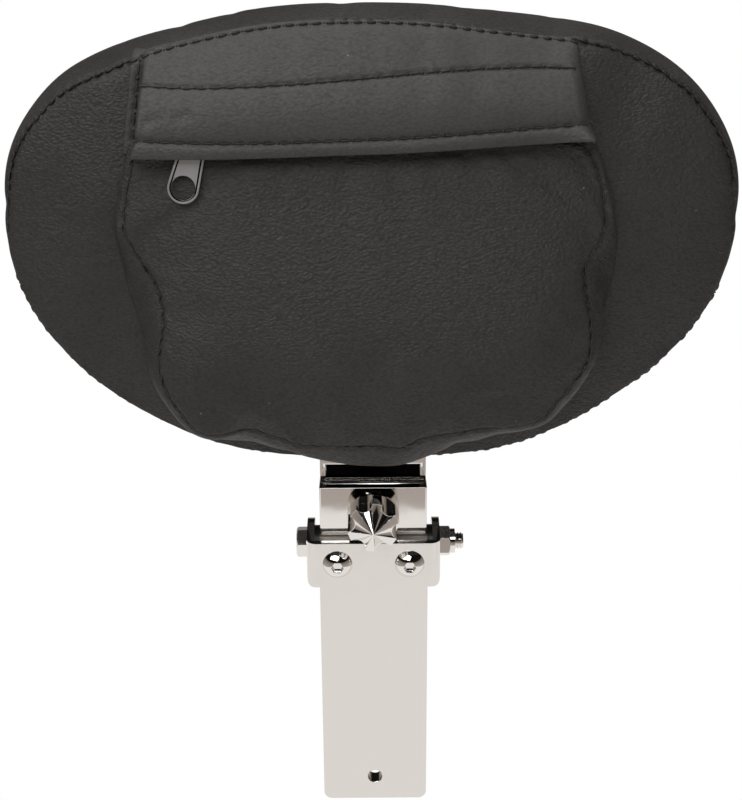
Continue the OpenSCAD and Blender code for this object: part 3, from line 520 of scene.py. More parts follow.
def outline(angle, grow=0.0, tuck=0.0):
    upper = np.sin(angle) >= 0
    exponent = np.where(upper, UPPER_EXP, LOWER_EXP)
    reach = np.where(upper, PAD_RISE, PAD_DROP)
    x = PAD_HALF * np.sign(np.cos(angle)) * np.abs(np.cos(angle)) ** (2 / exponent)
    up = reach * np.sign(np.sin(angle)) * np.abs(np.sin(angle)) ** (2 / exponent)
    size = 1 + (grow + by_direction(STRAY, x, up) - tuck * by_direction(TUCK, x, up)) / np.hypot(x, up)
    return x * size, PAD_MIDDLE + up * size


dense_angles = np.linspace(0, 2 * math.pi, 4001)
dense_x, dense_z = outline(dense_angles)
run = np.concatenate([[0], np.cumsum(np.hypot(np.diff(dense_x), np.diff(dense_z)))])


def angle_at(share):
    """Angle at a share of the way round the outline, counted from its right end."""
    return np.interp(np.mod(share, 1.0) * run[-1], run, dense_angles)


def pad_share(x, z):
    """Share of the pad's radius at a place on its rear side."""
    upper = z >= PAD_MIDDLE
    exponent = np.where(upper, UPPER_EXP, LOWER_EXP)
    reach = np.where(upper, PAD_RISE, PAD_DROP)
    return ((np.abs(x) / PAD_HALF) ** exponent + (np.abs(z - PAD_MIDDLE) / reach) ** exponent) ** (1 / exponent)


print("pad outline", round(run[-1] / MM), "mm round, seams at y", round(REAR_SEAM / MM), round(FRONT_SEAM / MM))

# %% [markdown]
# ## The pad's mesh
# A dome of foam has no pole, and neither does this mesh: each cover is a square grid whose rings
# are pressed into rings of the oval, so every face stays a near square. Rings crowd towards the
# seams, where the sewn groove needs them. The side band joins the two covers into one closed form.

# %% Pad mesh
RINGS = 64
BAND_ROWS = 18
ROUND = 4 * RINGS


def cover_grid():
    """Share of the radius and share of the way round for each point of the square grid."""
    u, v = np.meshgrid(np.linspace(-1, 1, RINGS + 1), np.linspace(-1, 1, RINGS + 1), indexing="ij")
    ring = np.maximum(np.abs(u), np.abs(v))
    safe = np.where(ring == 0, 1, ring)
    p, q = u / safe, v / safe
    turn = np.select([p >= 1 - 1e-9, q >= 1 - 1e-9, p <= -1 + 1e-9], [q / 8, 0.25 - p / 8, 0.5 - q / 8],
                     0.75 + p / 8)
    return 1 - (1 - ring) ** 1.35, np.mod(turn, 1.0)


def pad_mesh(inset):
    share, turn = cover_grid()
    angle = angle_at(turn)
    points, index = [], {}
    for side, seam, dome in ((-1, REAR_SEAM, REAR_DOME), (1, FRONT_SEAM, FRONT_DOME)):
        x, z = outline(angle, -inset, tuck=1.0 if side < 0 else 0.0)
        y = seam + side * (dome - inset) * (1 - share ** 3)
        grid = np.stack([x * share, y, PAD_MIDDLE + (z - PAD_MIDDLE) * share], -1).reshape(-1, 3)
        index[side] = np.arange(len(grid)).reshape(share.shape) + len(points)
        points.extend(grid.tolist())
    faces = []
    for side, ids in index.items():
        for i in range(RINGS):
            for j in range(RINGS):
                quad = [ids[i, j], ids[i + 1, j], ids[i + 1, j + 1], ids[i, j + 1]]
                faces.append(quad if side < 0 else quad[::-1])
    edge = {side: [ids[RINGS, j] for j in range(RINGS // 2, RINGS)]
                  + [ids[i, RINGS] for i in range(RINGS, 0, -1)]
                  + [ids[0, j] for j in range(RINGS, 0, -1)]
                  + [ids[i, 0] for i in range(0, RINGS)]
                  + [ids[RINGS, j] for j in range(0, RINGS // 2)] for side, ids in index.items()}
    rows = [edge[-1]]
    for row in range(1, BAND_ROWS):
        t = (1 - math.cos(math.pi * row / BAND_ROWS)) / 2
        crown = BAND_CROWN * (1 - (2 * t - 1) ** 2)
        bx, bz = outline(angle_at(np.arange(ROUND) / ROUND), crown - inset, tuck=(1 - t) ** 3)
        first = len(points)
        points.extend([(a, REAR_SEAM + t * (FRONT_SEAM - REAR_SEAM), b) for a, b in zip(bx, bz)])
        rows.append(list(range(first, first + ROUND)))
    rows.append(edge[1])
    for low, high in zip(rows, rows[1:]):
        for k in range(ROUND):
            n = (k + 1) % ROUND
            faces.append([low[k], low[n], high[n], high[k]])
    mesh = bpy.data.meshes.new("padded_rest")
    mesh.from_pydata(points, [], [[int(i) for i in f] for f in faces])
    mesh.validate()
    form = bmesh.new()
    form.from_mesh(mesh)
    bmesh.ops.recalc_face_normals(form, faces=form.faces)
    form.to_mesh(mesh)
    form.free()
    return mesh, [int(i) for i in edge[-1]], [int(i) for i in edge[1]]


mesh, rear_ring, front_ring = pad_mesh(0.6 * MM)
rest = placed("padded_rest", mesh, "backrest", VINYL)
print("pad mesh:", len(mesh.polygons), "faces")

# %% [markdown]
# ## Swelling the covers
# Foam pushes the vinyl out everywhere except at the seams, where thread holds it. A cloth
# simulation does the same: the seam rings are pinned, air pressure fills the form, and the cloth is
# cut a little longer than its seams, so small gathers form beside the stitching. The movement
# is capped so that the pad keeps the size of its solid.


# %% Cloth simulation for stuffed pieces
def points_of(mesh):
    flat = np.empty(len(mesh.vertices) * 3)
    mesh.vertices.foreach_get("co", flat)
    return flat.reshape(-1, 3)


def set_points(mesh, points):
    mesh.vertices.foreach_set("co", np.asarray(points, float).ravel())
    mesh.update()


def swell(piece, sewn, pressure=4.0, growth=0.02, cap=5 * MM, frames=20, stiffness=15, bending=0.5):
    before = points_of(piece.data)
    group = piece.vertex_groups.new(name="sewn")
    for weight, members in sewn.items():
        group.add([int(i) for i in members], weight, "REPLACE")
    cloth = piece.modifiers.new("Stuffing", "CLOTH")
    cloth.settings.quality = 6
    cloth.settings.mass = 0.4
    cloth.settings.tension_stiffness = stiffness
    cloth.settings.compression_stiffness = stiffness
    cloth.settings.bending_stiffness = bending
    cloth.settings.use_pressure = True
    cloth.settings.uniform_pressure_force = pressure
    cloth.settings.vertex_group_mass = "sewn"
    cloth.settings.shrink_min = -growth
    cloth.settings.effector_weights.gravity = 0
    cloth.point_cache.frame_start = 1
    cloth.point_cache.frame_end = frames
    for number in range(1, frames + 1):
        bpy.context.scene.frame_set(number)
    evaluated = piece.evaluated_get(bpy.context.evaluated_depsgraph_get())
    after = points_of(evaluated.data)
    piece.modifiers.clear()
    piece.vertex_groups.clear()
    bpy.context.scene.frame_set(1)
    move = after - before
    length = np.linalg.norm(move, axis=1)
    soft = cap * np.tanh(length / cap)
    set_points(piece.data, before + move * (soft / np.maximum(length, 1e-9))[:, None])
    print(piece.name, "moved up to", round(length.max() / MM, 1), "mm, kept to", round(soft.max() / MM, 1))


swell(rest, {1.0: rear_ring + front_ring}, pressure=3.0, growth=0.006, cap=3 * MM)

# %% [markdown]
# ## The seam grooves
# After one subdivision each seam is pressed in as a narrow groove, deepest on the seam itself.
# The points of the seam ring are known, so the groove follows them and not a formula. Below the
# pad's middle it lies a few millimetres onto the side band, where the photograph shows none of it.


# %% Subdivide and press in the seams
def subdivided(piece, levels=1):
    modifier = piece.modifiers.new("Finer", "SUBSURF")
    modifier.levels = modifier.render_levels = levels
    return baked(piece)


def ring_points(mesh, ring):
    return np.array([mesh.vertices[i].co for i in ring])


def closed_resample(points, count):
    loop = np.vstack([points, points[:1]])
    reach = np.concatenate([[0], np.cumsum(np.linalg.norm(np.diff(loop, axis=0), axis=1))])
    places = np.linspace(0, reach[-1], count, endpoint=False)
    return np.stack([np.interp(places, reach, loop[:, k]) for k in range(3)], -1)


def press_groove(piece, path, depth, half_width, pucker=0.0, pitch=6 * MM):
    """Press a groove in along a path. Puckers deepen it once per stitch; pucker is one share or one per point."""
    path = np.asarray(path, float)
    reach = np.concatenate([[0], np.cumsum(np.linalg.norm(np.diff(path, axis=0), axis=1))])
    tree = KDTree(len(path))
    for i, p in enumerate(path):
        tree.insert(p, i)
    tree.balance()
    deep = depth * (1 + pucker * np.cos(2 * math.pi * reach / pitch))
    points = points_of(piece.data)
    normals = np.array([v.normal for v in piece.data.vertices])
    for i, p in enumerate(points):
        _, near, distance = tree.find(p)
        if distance < 3 * half_width:
            points[i] = p - normals[i] * deep[near] * math.exp(-(distance / half_width) ** 2)
    set_points(piece.data, points)


SEAM_PITCH = 5.4 * MM
seam_paths = {}
subdivided(rest)
for name, ring, side in (("rear", rear_ring, 1), ("front", front_ring, -1)):
    path = closed_resample(ring_points(rest.data, ring), 1200)
    rise = path[:, 2] - PAD_MIDDLE
    path[:, 1] += side * np.interp(rise, (-50 * MM, 20 * MM), (5 * MM, -0.6 * MM))
    seam_paths[name] = path
    pucker = np.interp(rise, (-60 * MM, 0), (0.05, 0.45))
    press_groove(rest, path, 1.5 * MM, 1.9 * MM, pucker=pucker, pitch=SEAM_PITCH)
rest.data.shade_smooth()
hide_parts("rear_cover", "side_band", "front_cover")
print("pad:", len(rest.data.polygons), "faces")

# %% [markdown]
# ## Stitches
# A lock stitch shows as a row of short thread lengths, each dipping into a needle hole at both
# ends. That repeats along a path, so a Geometry Nodes tree places a slim, rounded stitch and a
# dark hole per step along a curve, turned to the curve and a little off line, as a machine
# leaves them. The same tree later sets the zip's teeth.


# %% Tree for rows of small things
def row_tree(name, pitch, first, second, stray_angle):
    """A tree that sets a pair of beads per step of a path, each with its size and its offset."""
    tree = bpy.data.node_groups.new(name, "GeometryNodeTree")
    for label, kind, value in (("Path", "Geometry", None), ("Pitch", "Float", pitch),
                               ("First size", "Vector", first[0]), ("First offset", "Vector", first[1]),
                               ("Second size", "Vector", second[0]), ("Second offset", "Vector", second[1]),
                               ("Stray angle", "Float", stray_angle), ("Seed", "Int", 7),
                               ("Finish", "Material", None)):
        socket = tree.interface.new_socket(label, in_out="INPUT", socket_type="NodeSocket" + kind)
        if value is not None:
            socket.default_value = value
    tree.interface.new_socket("Row", in_out="OUTPUT", socket_type="NodeSocketGeometry")
    given = add(tree, "NodeGroupInput").outputs
    spaced = add(tree, "GeometryNodeResampleCurve", {"Curve": given["Path"], "Length": given["Pitch"]},
                 mode="LENGTH")
    along = add(tree, "FunctionNodeAlignEulerToVector",
                {"Vector": add(tree, "GeometryNodeInputTangent").outputs["Tangent"]}, axis="X")
    low = add(tree, "ShaderNodeMath", {0: given["Stray angle"], 1: -1.0}, operation="MULTIPLY")
    chance = add(tree, "FunctionNodeRandomValue",
                 {"Min": low.outputs["Value"], "Max": given["Stray angle"], "Seed": given["Seed"]},
                 data_type="FLOAT")
    turned = add(tree, "FunctionNodeRotateEuler",
                 {"Rotation": along.outputs["Rotation"], "Axis": (0, 1, 0),
                  "Angle": [o for o in chance.outputs if o.enabled][0]},
                 rotation_type="AXIS_ANGLE", space="LOCAL")
    bead = add(tree, "GeometryNodeMeshUVSphere", {"Segments": 8, "Rings": 6, "Radius": 0.5})
    smooth = add(tree, "GeometryNodeSetShadeSmooth", {"Geometry": bead.outputs["Mesh"]})
    pair = add(tree, "GeometryNodeJoinGeometry")
    for order in ("First", "Second"):
        one = add(tree, "GeometryNodeTransform",
                  {"Geometry": smooth.outputs["Geometry"], "Translation": given[order + " offset"],
                   "Scale": given[order + " size"]})
        tree.links.new(one.outputs["Geometry"], pair.inputs["Geometry"])
    points = add(tree, "GeometryNodeInstanceOnPoints",
                 {"Points": spaced.outputs["Curve"], "Instance": pair.outputs["Geometry"],
                  "Rotation": turned.outputs["Rotation"]})
    real = add(tree, "GeometryNodeRealizeInstances", {"Geometry": points.outputs["Instances"]})
    painted = add(tree, "GeometryNodeSetMaterial",
                  {"Geometry": real.outputs["Geometry"], "Material": given["Finish"]})
    add(tree, "NodeGroupOutput", {"Row": painted.outputs["Geometry"]})
    return tree


def set_input(modifier, name, value):
    socket = [s for s in modifier.node_group.interface.items_tree if s.name == name and s.in_out == "INPUT"][0]
    modifier[socket.identifier] = value


def curve_through(name, points, closed=False):
    curve = bpy.data.curves.new(name, "CURVE")
    curve.dimensions = "3D"
    spline = curve.splines.new("POLY")
    spline.points.add(len(points) - 1)
    for point, place in zip(spline.points, points):
        point.co = (*place, 1)
    spline.use_cyclic_u = closed
    holder = bpy.data.objects.new(name, curve)
    bpy.context.scene.collection.objects.link(holder)
    return holder


THREAD_WIDTH = 0.75 * MM
STITCH_PITCH = 6 * MM
STITCHES = row_tree("row_of_stitches", STITCH_PITCH,
                    ((0.88 * STITCH_PITCH, THREAD_WIDTH, THREAD_WIDTH), (0, 0, 0)),
                    ((1.4 * MM, 0.7 * MM, 1.3 * MM), (STITCH_PITCH / 2, 0, 0)), 0.05)
BEAD_FACES = 48


def row(name, points, tree=STITCHES, finish=THREAD, slot="black_vinyl", closed=False, **inputs):
    holder = curve_through(name + "_path", points, closed)
    modifier = holder.modifiers.new("Row", "NODES")
    modifier.node_group = tree
    set_input(modifier, "Finish", finish)
    for key, value in inputs.items():
        set_input(modifier, key.replace("_", " "), value)
    bpy.context.view_layer.update()
    mesh = bpy.data.meshes.new_from_object(holder.evaluated_get(bpy.context.evaluated_depsgraph_get()))
    bpy.data.objects.remove(holder)
    piece = placed(name, mesh, "backrest", finish)
    print(name, len(mesh.polygons) // (2 * BEAD_FACES), "steps")
    return piece


def surface_of(piece):
    mesh = piece.data
    return BVHTree.FromPolygons([v.co.copy() for v in mesh.vertices], [p.vertices[:] for p in mesh.polygons])


def laid_on(surface, points, lift=0.0):
    """Points moved to the nearest place on a surface, then off it by lift."""
    laid = []
    for p in points:
        place, normal, _, _ = surface.find_nearest(Vector(p))
        laid.append(place + normal * lift)
    return laid


pad_surface = surface_of(rest)
SEAM_STITCH = {"Pitch": SEAM_PITCH, "First_size": (0.74 * SEAM_PITCH, 1.5 * MM, 1.5 * MM),
               "Second_size": (0.7 * MM, 0.6 * MM, 0.7 * MM), "Second_offset": (SEAM_PITCH / 2, 0, 0)}
for name, path in seam_paths.items():
    row(name + "_seam_stitches", laid_on(pad_surface, path, 0.35 * MM), closed=True, **SEAM_STITCH)

# %% [markdown]
# ## The pouch
# The pouch is a bag: a front panel, a side wall that leans out from the panel's seam to the pad,
# and a zip under the flap. Its outline isn't symmetrical, because it hangs full and has been
# handled. So the seam and the wall's foot go through a few measured places, rounded by a spline.

# %% Seam and foot of the pouch, in mm across and up
PANEL_SEAM = [(-97.2, 311), (-101, 296.6), (-102.9, 282.4), (-98.7, 273.4), (-94, 266.1), (-89.7, 257.9),
              (-87.8, 246), (-89.7, 234), (-90.4, 225), (-87.4, 215), (-82.7, 207), (-76, 198.4),
              (-67, 195), (-52, 197.6), (-40, 194), (-26.8, 190.2), (-1.2, 190), (11.6, 189.2),
              (22.2, 193.2), (39.2, 196.3), (68.8, 200), (78.4, 208.7), (85.3, 217.2), (90.2, 225.2),
              (92.1, 234), (91.5, 246), (89, 263), (91.4, 270), (95.4, 277), (97, 284), (96.5, 291), (94.6, 300),
              (91.6, 308.5), (88, 314), (82, 317.5), (50, 318.5), (0, 318), (-50, 317), (-90, 316.6), (-95.5, 315.4)]
WALL_FOOT = [(-98.7, 311), (-103, 296), (-105.5, 281), (-106, 272), (-104.6, 261), (-102.5, 250),
             (-99.5, 238), (-97, 230), (-95.5, 220), (-93, 211), (-88, 203), (-81, 194),
             (-70, 187), (-55, 184), (-42, 181.5), (-28, 179.5), (-3, 178), (12, 178.5),
             (26, 180.5), (42, 184), (70.5, 192), (82, 201), (89, 211), (94, 221),
             (96.5, 231), (99, 244), (102, 257), (103, 267), (102.8, 276), (101, 284.5), (99.4, 292), (96.6, 301),
             (93, 309.5), (89, 315.5), (82.5, 319.5), (50, 320.5), (0, 320), (-50, 319), (-91, 318.4), (-96.8, 316.4)]
POUCH_TOP_DEPTH = 22.4 * MM
POUCH_LOW_DEPTH = 38.5 * MM
POUCH_TOP = 316.1 * MM
POUCH_LOW = 187.1 * MM


def rear_surface_y(x, z):
    """Where the pad's rear cover lies, from the swollen pad itself."""
    hit = pad_surface.ray_cast(Vector((x, -0.2, z)), Vector((0, 1, 0)))
    return hit[0].y if hit[0] is not None else REAR_SEAM


def panel_y(z):
    t = min(1, max(0, (POUCH_TOP - z) / (POUCH_TOP - POUCH_LOW)))
    return -POUCH_TOP_DEPTH - (POUCH_LOW_DEPTH - POUCH_TOP_DEPTH) * t * t * (3 - 2 * t)


def loop_through(points):
    """A smooth closed curve through given points, with 24 places between two of them."""
    knots = np.array(points, float)
    fine = []
    for i in range(len(knots)):
        a, b, c, d = (knots[(i + k) % len(knots)] for k in (-1, 0, 1, 2))
        for t in np.linspace(0, 1, 24, endpoint=False):
            fine.append(0.5 * (2 * b + (c - a) * t + (2 * a - 5 * b + 4 * c - d) * t * t
                               + (3 * b - a - 3 * c + d) * t ** 3))
    return np.array(fine)


# %% [markdown]
# The seam and the foot are paired point by point, so both are sampled at the same spline
# parameter. The front panel is again a square grid pressed into the outline, and the wall is a
# few rows of faces between the seam and the foot, bulging a little between them.

# %% Pouch mesh
PANEL_CELLS = 56
PANEL_ROUND = 4 * PANEL_CELLS
WALL_ROWS = 10
PANEL_BULGE = 5 * MM
WALL_BULGE = 2.5 * MM
WALL_SAG = 5.5 * MM


def paired_loops():
    loops = [np.vstack([loop, loop[:1]]) * MM for loop in (loop_through(PANEL_SEAM), loop_through(WALL_FOOT))]
    reach = np.concatenate([[0], np.cumsum(np.linalg.norm(np.diff(loops[0], axis=0), axis=1))])
    steps = np.arange(len(reach))
    places = np.interp(np.linspace(0, reach[-1], PANEL_ROUND, endpoint=False), reach, steps)
    return [np.stack([np.interp(places, steps, loop[:, k]) for k in (0, 1)], -1) for loop in loops]


def pouch_mesh():
    seam, foot = paired_loops()
    middle = np.array([-2 * MM, 252 * MM])
    start = int(np.argmin(np.abs(np.arctan2(seam[:, 1] - middle[1], seam[:, 0] - middle[0]))))
    order = (start - np.arange(PANEL_ROUND)) % PANEL_ROUND
    if seam[order[PANEL_CELLS]][1] < middle[1]:
        order = order[::-1]
        order = np.roll(order, 1)
    seam, foot = seam[order], foot[order]
    u, v = np.meshgrid(np.linspace(-1, 1, PANEL_CELLS + 1), np.linspace(-1, 1, PANEL_CELLS + 1), indexing="ij")
    ring = np.maximum(np.abs(u), np.abs(v))
    safe = np.where(ring == 0, 1, ring)
    p, q = u / safe, v / safe
    turn = np.select([p >= 1 - 1e-9, q >= 1 - 1e-9, p <= -1 + 1e-9], [q / 8, 0.25 - p / 8, 0.5 - q / 8],
                     0.75 + p / 8) % 1.0
    loop = np.vstack([seam, seam[:1]])
    places = turn * PANEL_ROUND
    share = 1 - (1 - ring) ** 1.3
    x = middle[0] + (np.interp(places, np.arange(PANEL_ROUND + 1), loop[:, 0]) - middle[0]) * share
    z = middle[1] + (np.interp(places, np.arange(PANEL_ROUND + 1), loop[:, 1]) - middle[1]) * share
    y = np.vectorize(panel_y)(z)
    low = np.clip((POUCH_TOP - z) / (POUCH_TOP - POUCH_LOW), 0, 1)
    y = y - PANEL_BULGE * (1 - share ** 4) * np.clip(low * 2.2, 0, 1)
    points = np.stack([x, y, z], -1).reshape(-1, 3).tolist()
    ids = np.arange(len(points)).reshape(x.shape)
    faces = [[ids[i, j], ids[i + 1, j], ids[i + 1, j + 1], ids[i, j + 1]]
             for i in range(PANEL_CELLS) for j in range(PANEL_CELLS)]
    half = PANEL_CELLS // 2
    edge = ([ids[PANEL_CELLS, j] for j in range(half, PANEL_CELLS)]
            + [ids[i, PANEL_CELLS] for i in range(PANEL_CELLS, 0, -1)]
            + [ids[0, j] for j in range(PANEL_CELLS, 0, -1)]
            + [ids[i, 0] for i in range(0, PANEL_CELLS)]
            + [ids[PANEL_CELLS, j] for j in range(0, half)])
    rows = [[int(i) for i in edge]]
    seam_y = np.array([points[i][1] for i in edge])
    foot_y = np.array([rear_surface_y(a, b) for a, b in foot]) + 0.6 * MM
    for row in range(1, WALL_ROWS + 1):
        t = row / WALL_ROWS
        sag = WALL_SAG * np.exp(-((seam[:, 0] - 2 * MM) / (26 * MM)) ** 2) * (seam[:, 1] < middle[1])
        bulge = ((WALL_BULGE + sag) * 4 * t * (1 - t))[:, None]
        out = seam - middle
        out /= np.linalg.norm(out, axis=1)[:, None]
        ring_xz = seam * (1 - t) + foot * t + out * bulge
        ring_y = seam_y * (1 - t) + foot_y * t
        first = len(points)
        points.extend([(a, c, b) for (a, b), c in zip(ring_xz.tolist(), ring_y.tolist())])
        rows.append(list(range(first, first + PANEL_ROUND)))
    for low_row, high_row in zip(rows, rows[1:]):
        for k in range(PANEL_ROUND):
            n = (k + 1) % PANEL_ROUND
            faces.append([low_row[k], low_row[n], high_row[n], high_row[k]])
    mesh = bpy.data.meshes.new("pouch_bag")
    mesh.from_pydata(points, [], [[int(i) for i in f] for f in faces])
    form = bmesh.new()
    form.from_mesh(mesh)
    bmesh.ops.recalc_face_normals(form, faces=form.faces)
    form.faces.ensure_lookup_table()
    if sum(f.normal.y for f in form.faces) > 0:
        bmesh.ops.reverse_faces(form, faces=form.faces)
    form.to_mesh(mesh)
    form.free()
    return mesh, rows


mesh, pouch_rows = pouch_mesh()
bag = placed("pouch_bag", mesh, "backrest", VINYL)
top_edge = [i for i, p in enumerate(points_of(mesh)) if p[2] > 312 * MM]
swell(bag, {0.6: pouch_rows[0], 1.0: sorted(set(pouch_rows[-1] + top_edge))}, pressure=1.0, growth=0.012,
      cap=4 * MM)
seam_path = closed_resample(ring_points(bag.data, pouch_rows[0]), 900)
edge_path = closed_resample(ring_points(bag.data, pouch_rows[1]), 900)
subdivided(bag)
press_groove(bag, seam_path, 1.4 * MM, 1.4 * MM, pucker=0.35)
press_groove(bag, edge_path, 0.5 * MM, 0.8 * MM)
bag.data.shade_smooth()
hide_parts("pouch_panel", "pouch_gusset")
print("pouch:", len(bag.data.polygons), "faces")

# %% [markdown]
# ## Yoke and flap
# One strip of vinyl runs from the top seam down over the zip. It is sewn down along two rows and
# stands up softly between them, and its hem is folded. At both ends it turns back to the pad,
# and on the left the pouch's side wall runs on up beside it as a flat strip. The rows and the
# hem wander a little in the photograph, so cubic curves through a few measured heights draw them.

# %% Flap sheet
flap_low, flap_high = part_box("zip_flap")
ZIP_SLOPE = 0.034
FLAP_EDGE = 315.3 * MM
FLAP_FRONT = flap_low.y - 0.2 * MM
LEFT_STRIP = ((-102, 311), (-97.6, 344), (-97, 361))
LEFT_EDGE = ((-97.3, 312), (-95, 318), (-92.1, 341), (-89.5, 361))
RIGHT_EDGE = ((89.4, 318.3), (84, 323), (80, 344), (77.5, 364))
RIGHT_FOLD = ((91.4, 318.3), (89, 327), (86, 344), (83.4, 364))
STRIP_COLUMNS, FRONT_COLUMNS, FOLD_COLUMNS = 10, 116, 8
ROW_COUNTS = (9, 22, 20)


def through(xs, heights):
    """A cubic through measured heights, both in mm."""
    return np.poly1d(np.polyfit(xs, heights, 3))


hem_sag = through((-97, -28, 32, 90), (0, -2.0, -1.7, 0))
low_row = through((-96, -28, 32, 90), (7.4, 6.0, 6.2, 6.8))
high_row = through((-90, -48, -8, 32, 80), (28, 27.6, 29.4, 30.4, 28.2))


def seam_height(x):
    share = max(0, 1 - (abs(x) / PAD_HALF) ** UPPER_EXP)
    up = PAD_RISE * share ** (1 / UPPER_EXP)
    stray, tuck = (float(by_direction(table, np.array(x), np.array(up))) for table in (STRAY, TUCK))
    return PAD_MIDDLE + up + stray - tuck


def line_x(line, z):
    return float(np.interp(z, [p[1] * MM for p in line], [p[0] * MM for p in line]))


def smooth(t):
    t = min(1, max(0, t))
    return t * t * (3 - 2 * t)


def hem_height(x):
    return FLAP_EDGE + ZIP_SLOPE * x + hem_sag(x / MM) * MM


def row_height(x, level):
    """Height on the flap: level 0 is the hem, 1 and 2 are the stitch rows, 3 is the top seam."""
    heights = (hem_height(x), hem_height(x) + low_row(x / MM) * MM, hem_height(x) + high_row(x / MM) * MM,
               seam_height(0.9 * x) - 0.4 * MM)
    return float(np.interp(level, (0, 1, 2, 3), heights))


def front_y(x, z, level):
    """Where the front of the sheet lies."""
    hem, top = hem_height(x), seam_height(x) - 0.4 * MM
    base = rear_surface_y(x, min(z, top - 1 * MM)) - 0.9 * MM
    y = FLAP_FRONT + (base - FLAP_FRONT) * min(1, max(0, (z - hem) / (top - hem))) ** 1.15
    puff = 1.4 * MM * math.sin(math.pi * min(1, max(0, level - 1))) ** 0.7
    lip = 0.5 * MM * math.sin(math.pi * min(1, level))
    stand = 2.2 * MM * math.exp(-((x - 92 * MM) / (10 * MM)) ** 2) * max(0, 1 - level)
    wave = 0.7 * MM * math.sin(x / (13 * MM)) * max(0, 1 - level / 2)
    return y - puff - lip - stand - wave


def flap_point(level, zone, s):
    start, end = LEFT_EDGE[0][0] * MM, RIGHT_EDGE[0][0] * MM
    across = {"strip": 0.0, "front": s, "fold": 1.0}[zone]
    z = row_height(start + (end - start) * across, level)
    left, right = line_x(LEFT_EDGE, z), line_x(RIGHT_EDGE, z)
    if zone == "front":
        x = left + (right - left) * s
        return x, front_y(x, z, level), z
    edge, outer = (left, line_x(LEFT_STRIP, z)) if zone == "strip" else (right, line_x(RIGHT_FOLD, z))
    x = edge + (outer - edge) * s
    flat = rear_surface_y(x, z) + (-1.1 * MM if zone == "strip" else 0.5 * MM)
    back = smooth(s / 0.28) if zone == "strip" else 1 - math.sqrt(1 - s * s)
    return x, front_y(edge, z, level) * (1 - back) + flat * back, z


def flap_mesh():
    levels = [i + k / n for i, n in enumerate(ROW_COUNTS) for k in range(n)] + [3.0]
    columns = ([("strip", 1 - k / STRIP_COLUMNS) for k in range(STRIP_COLUMNS)]
               + [("front", k / FRONT_COLUMNS) for k in range(FRONT_COLUMNS + 1)]
               + [("fold", (k + 1) / FOLD_COLUMNS) for k in range(FOLD_COLUMNS)])
    points = [flap_point(level, zone, s) for level in levels for zone, s in columns]
    width = len(columns)
    faces = [(r * width + c, r * width + c + 1, (r + 1) * width + c + 1, (r + 1) * width + c)
             for r in range(len(levels) - 1) for c in range(width - 1)]
    mesh = bpy.data.meshes.new("stitched_flap")
    mesh.from_pydata(points, [], faces)
    return mesh


# Painted light: the flap wears the lighter copy of the vinyl
flap = placed("stitched_flap", flap_mesh(), "backrest", VINYL_CALM_PAINTED_LIGHTER)
thick = flap.modifiers.new("Vinyl thickness", "SOLIDIFY")
thick.thickness = 1.8 * MM
thick.offset = -1
baked(flap)
subdivided(flap)
print("flap:", len(flap.data.polygons), "faces")

# %% [markdown]
# The rows are first traced on the smooth sheet. Each is then pressed in as a fine groove with a
# pucker at every needle hole, and its thread is laid in the groove. The pouch's seam is sewn from
# inside; a thin dark line of thread beads laid in its groove is painted shade.

# %% Flap and pouch stitches
DENTS = [(-88, 327), (-75.5, 328.5)]
DENT_REACH = Vector((1.6, 0, 0.7)) * MM
flap_surface = surface_of(flap)


def traced(level, left, right):
    places = []
    for x in np.linspace(left * MM, right * MM, 240):
        hit = flap_surface.ray_cast(Vector((x, -0.2, row_height(x, level))), Vector((0, 1, 0)))
        places.append(hit[0])
    return places


def strip_trace(inset):
    """Down the left edge of the flap, a little outside it, on the flat strip."""
    places = []
    for z in np.linspace(319 * MM, 346 * MM, 60):
        hit = flap_surface.ray_cast(Vector((line_x(LEFT_EDGE, z) - inset, -0.2, z)), Vector((0, 1, 0)))
        places.append(hit[0])
    return places


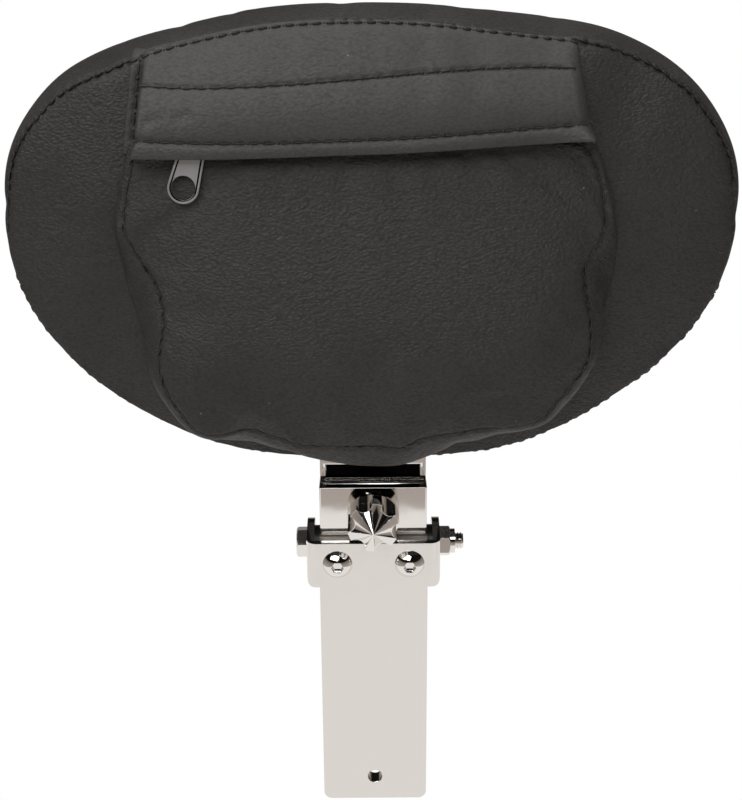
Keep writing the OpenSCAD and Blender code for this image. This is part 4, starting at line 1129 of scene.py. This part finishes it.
flap_rows = {"hem_stitches": traced(1, -94.5, 86), "flap_top_stitches": traced(2, -91.5, 79),
             "strip_stitches": strip_trace(2.6 * MM)}
for name, path in flap_rows.items():
    press_groove(flap, path, 0.55 * MM, 1.2 * MM, pucker=0.35)
for x, z in DENTS:
    dent = flap_surface.ray_cast(Vector((x * MM, -0.2, z * MM)), Vector((0, 1, 0)))[0]
    press_groove(flap, [dent - DENT_REACH, dent + DENT_REACH], 0.6 * MM, 2.6 * MM)
flap.data.shade_smooth()
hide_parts("zip_flap", "pouch_yoke")
flap_surface = surface_of(flap)
bag_surface = surface_of(bag)
for name, path in flap_rows.items():
    row(name, laid_on(flap_surface, path, 0.35 * MM))
ends = (LEFT_STRIP[-1][0] * MM, RIGHT_FOLD[-1][0] * MM)
top_row = [p + np.array([0, -1.2 * MM, -0.6 * MM]) for p in seam_paths["rear"]
           if ends[0] < p[0] < ends[1] and p[2] > PAD_MIDDLE]
row("yoke_seam_stitches", laid_on(flap_surface, top_row, 0.15 * MM), **SEAM_STITCH)
# Painted shade: a continuous dark line of thread beads along the pouch seam's groove, for the shade in the crease
row("panel_seam_painted_shade", laid_on(bag_surface, seam_path, 0.1 * MM), closed=True, Pitch=2 * MM, Stray_angle=0.0,
    First_size=(2.6 * MM, 0.85 * MM, 0.85 * MM), Second_size=(0, 0, 0))

# %% [markdown]
# ## Zip teeth
# The chain is two rows of moulded nylon teeth that mesh. One step of the row tree is a pair of
# teeth, one on each side of the middle line, half a pitch apart.

# %% Zip teeth
teeth_low, teeth_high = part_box("zip_teeth")
TOOTH_PITCH = 3 * MM
tooth_size = (1.5 * MM, teeth_high.y - teeth_low.y, 3.6 * MM)
TEETH = row_tree("row_of_zip_teeth", TOOTH_PITCH, (tooth_size, (0, 0, 0.9 * MM)),
                 (tooth_size, (TOOTH_PITCH / 2, 0, -0.9 * MM)), 0.0)
zip_height = (teeth_low.z + teeth_high.z) / 2
zip_middle = (teeth_low.x + teeth_high.x) / 2
zip_y = (teeth_low.y + teeth_high.y) / 2
zip_ends = [(x, zip_y, zip_height + ZIP_SLOPE * (x - zip_middle))
            for x in (teeth_low.x + 0.6 * MM, teeth_high.x - 2.2 * MM)]
chain = row("zip_chain", zip_ends, tree=TEETH, finish=NYLON, slot="zip_nylon")
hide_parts("zip_teeth")
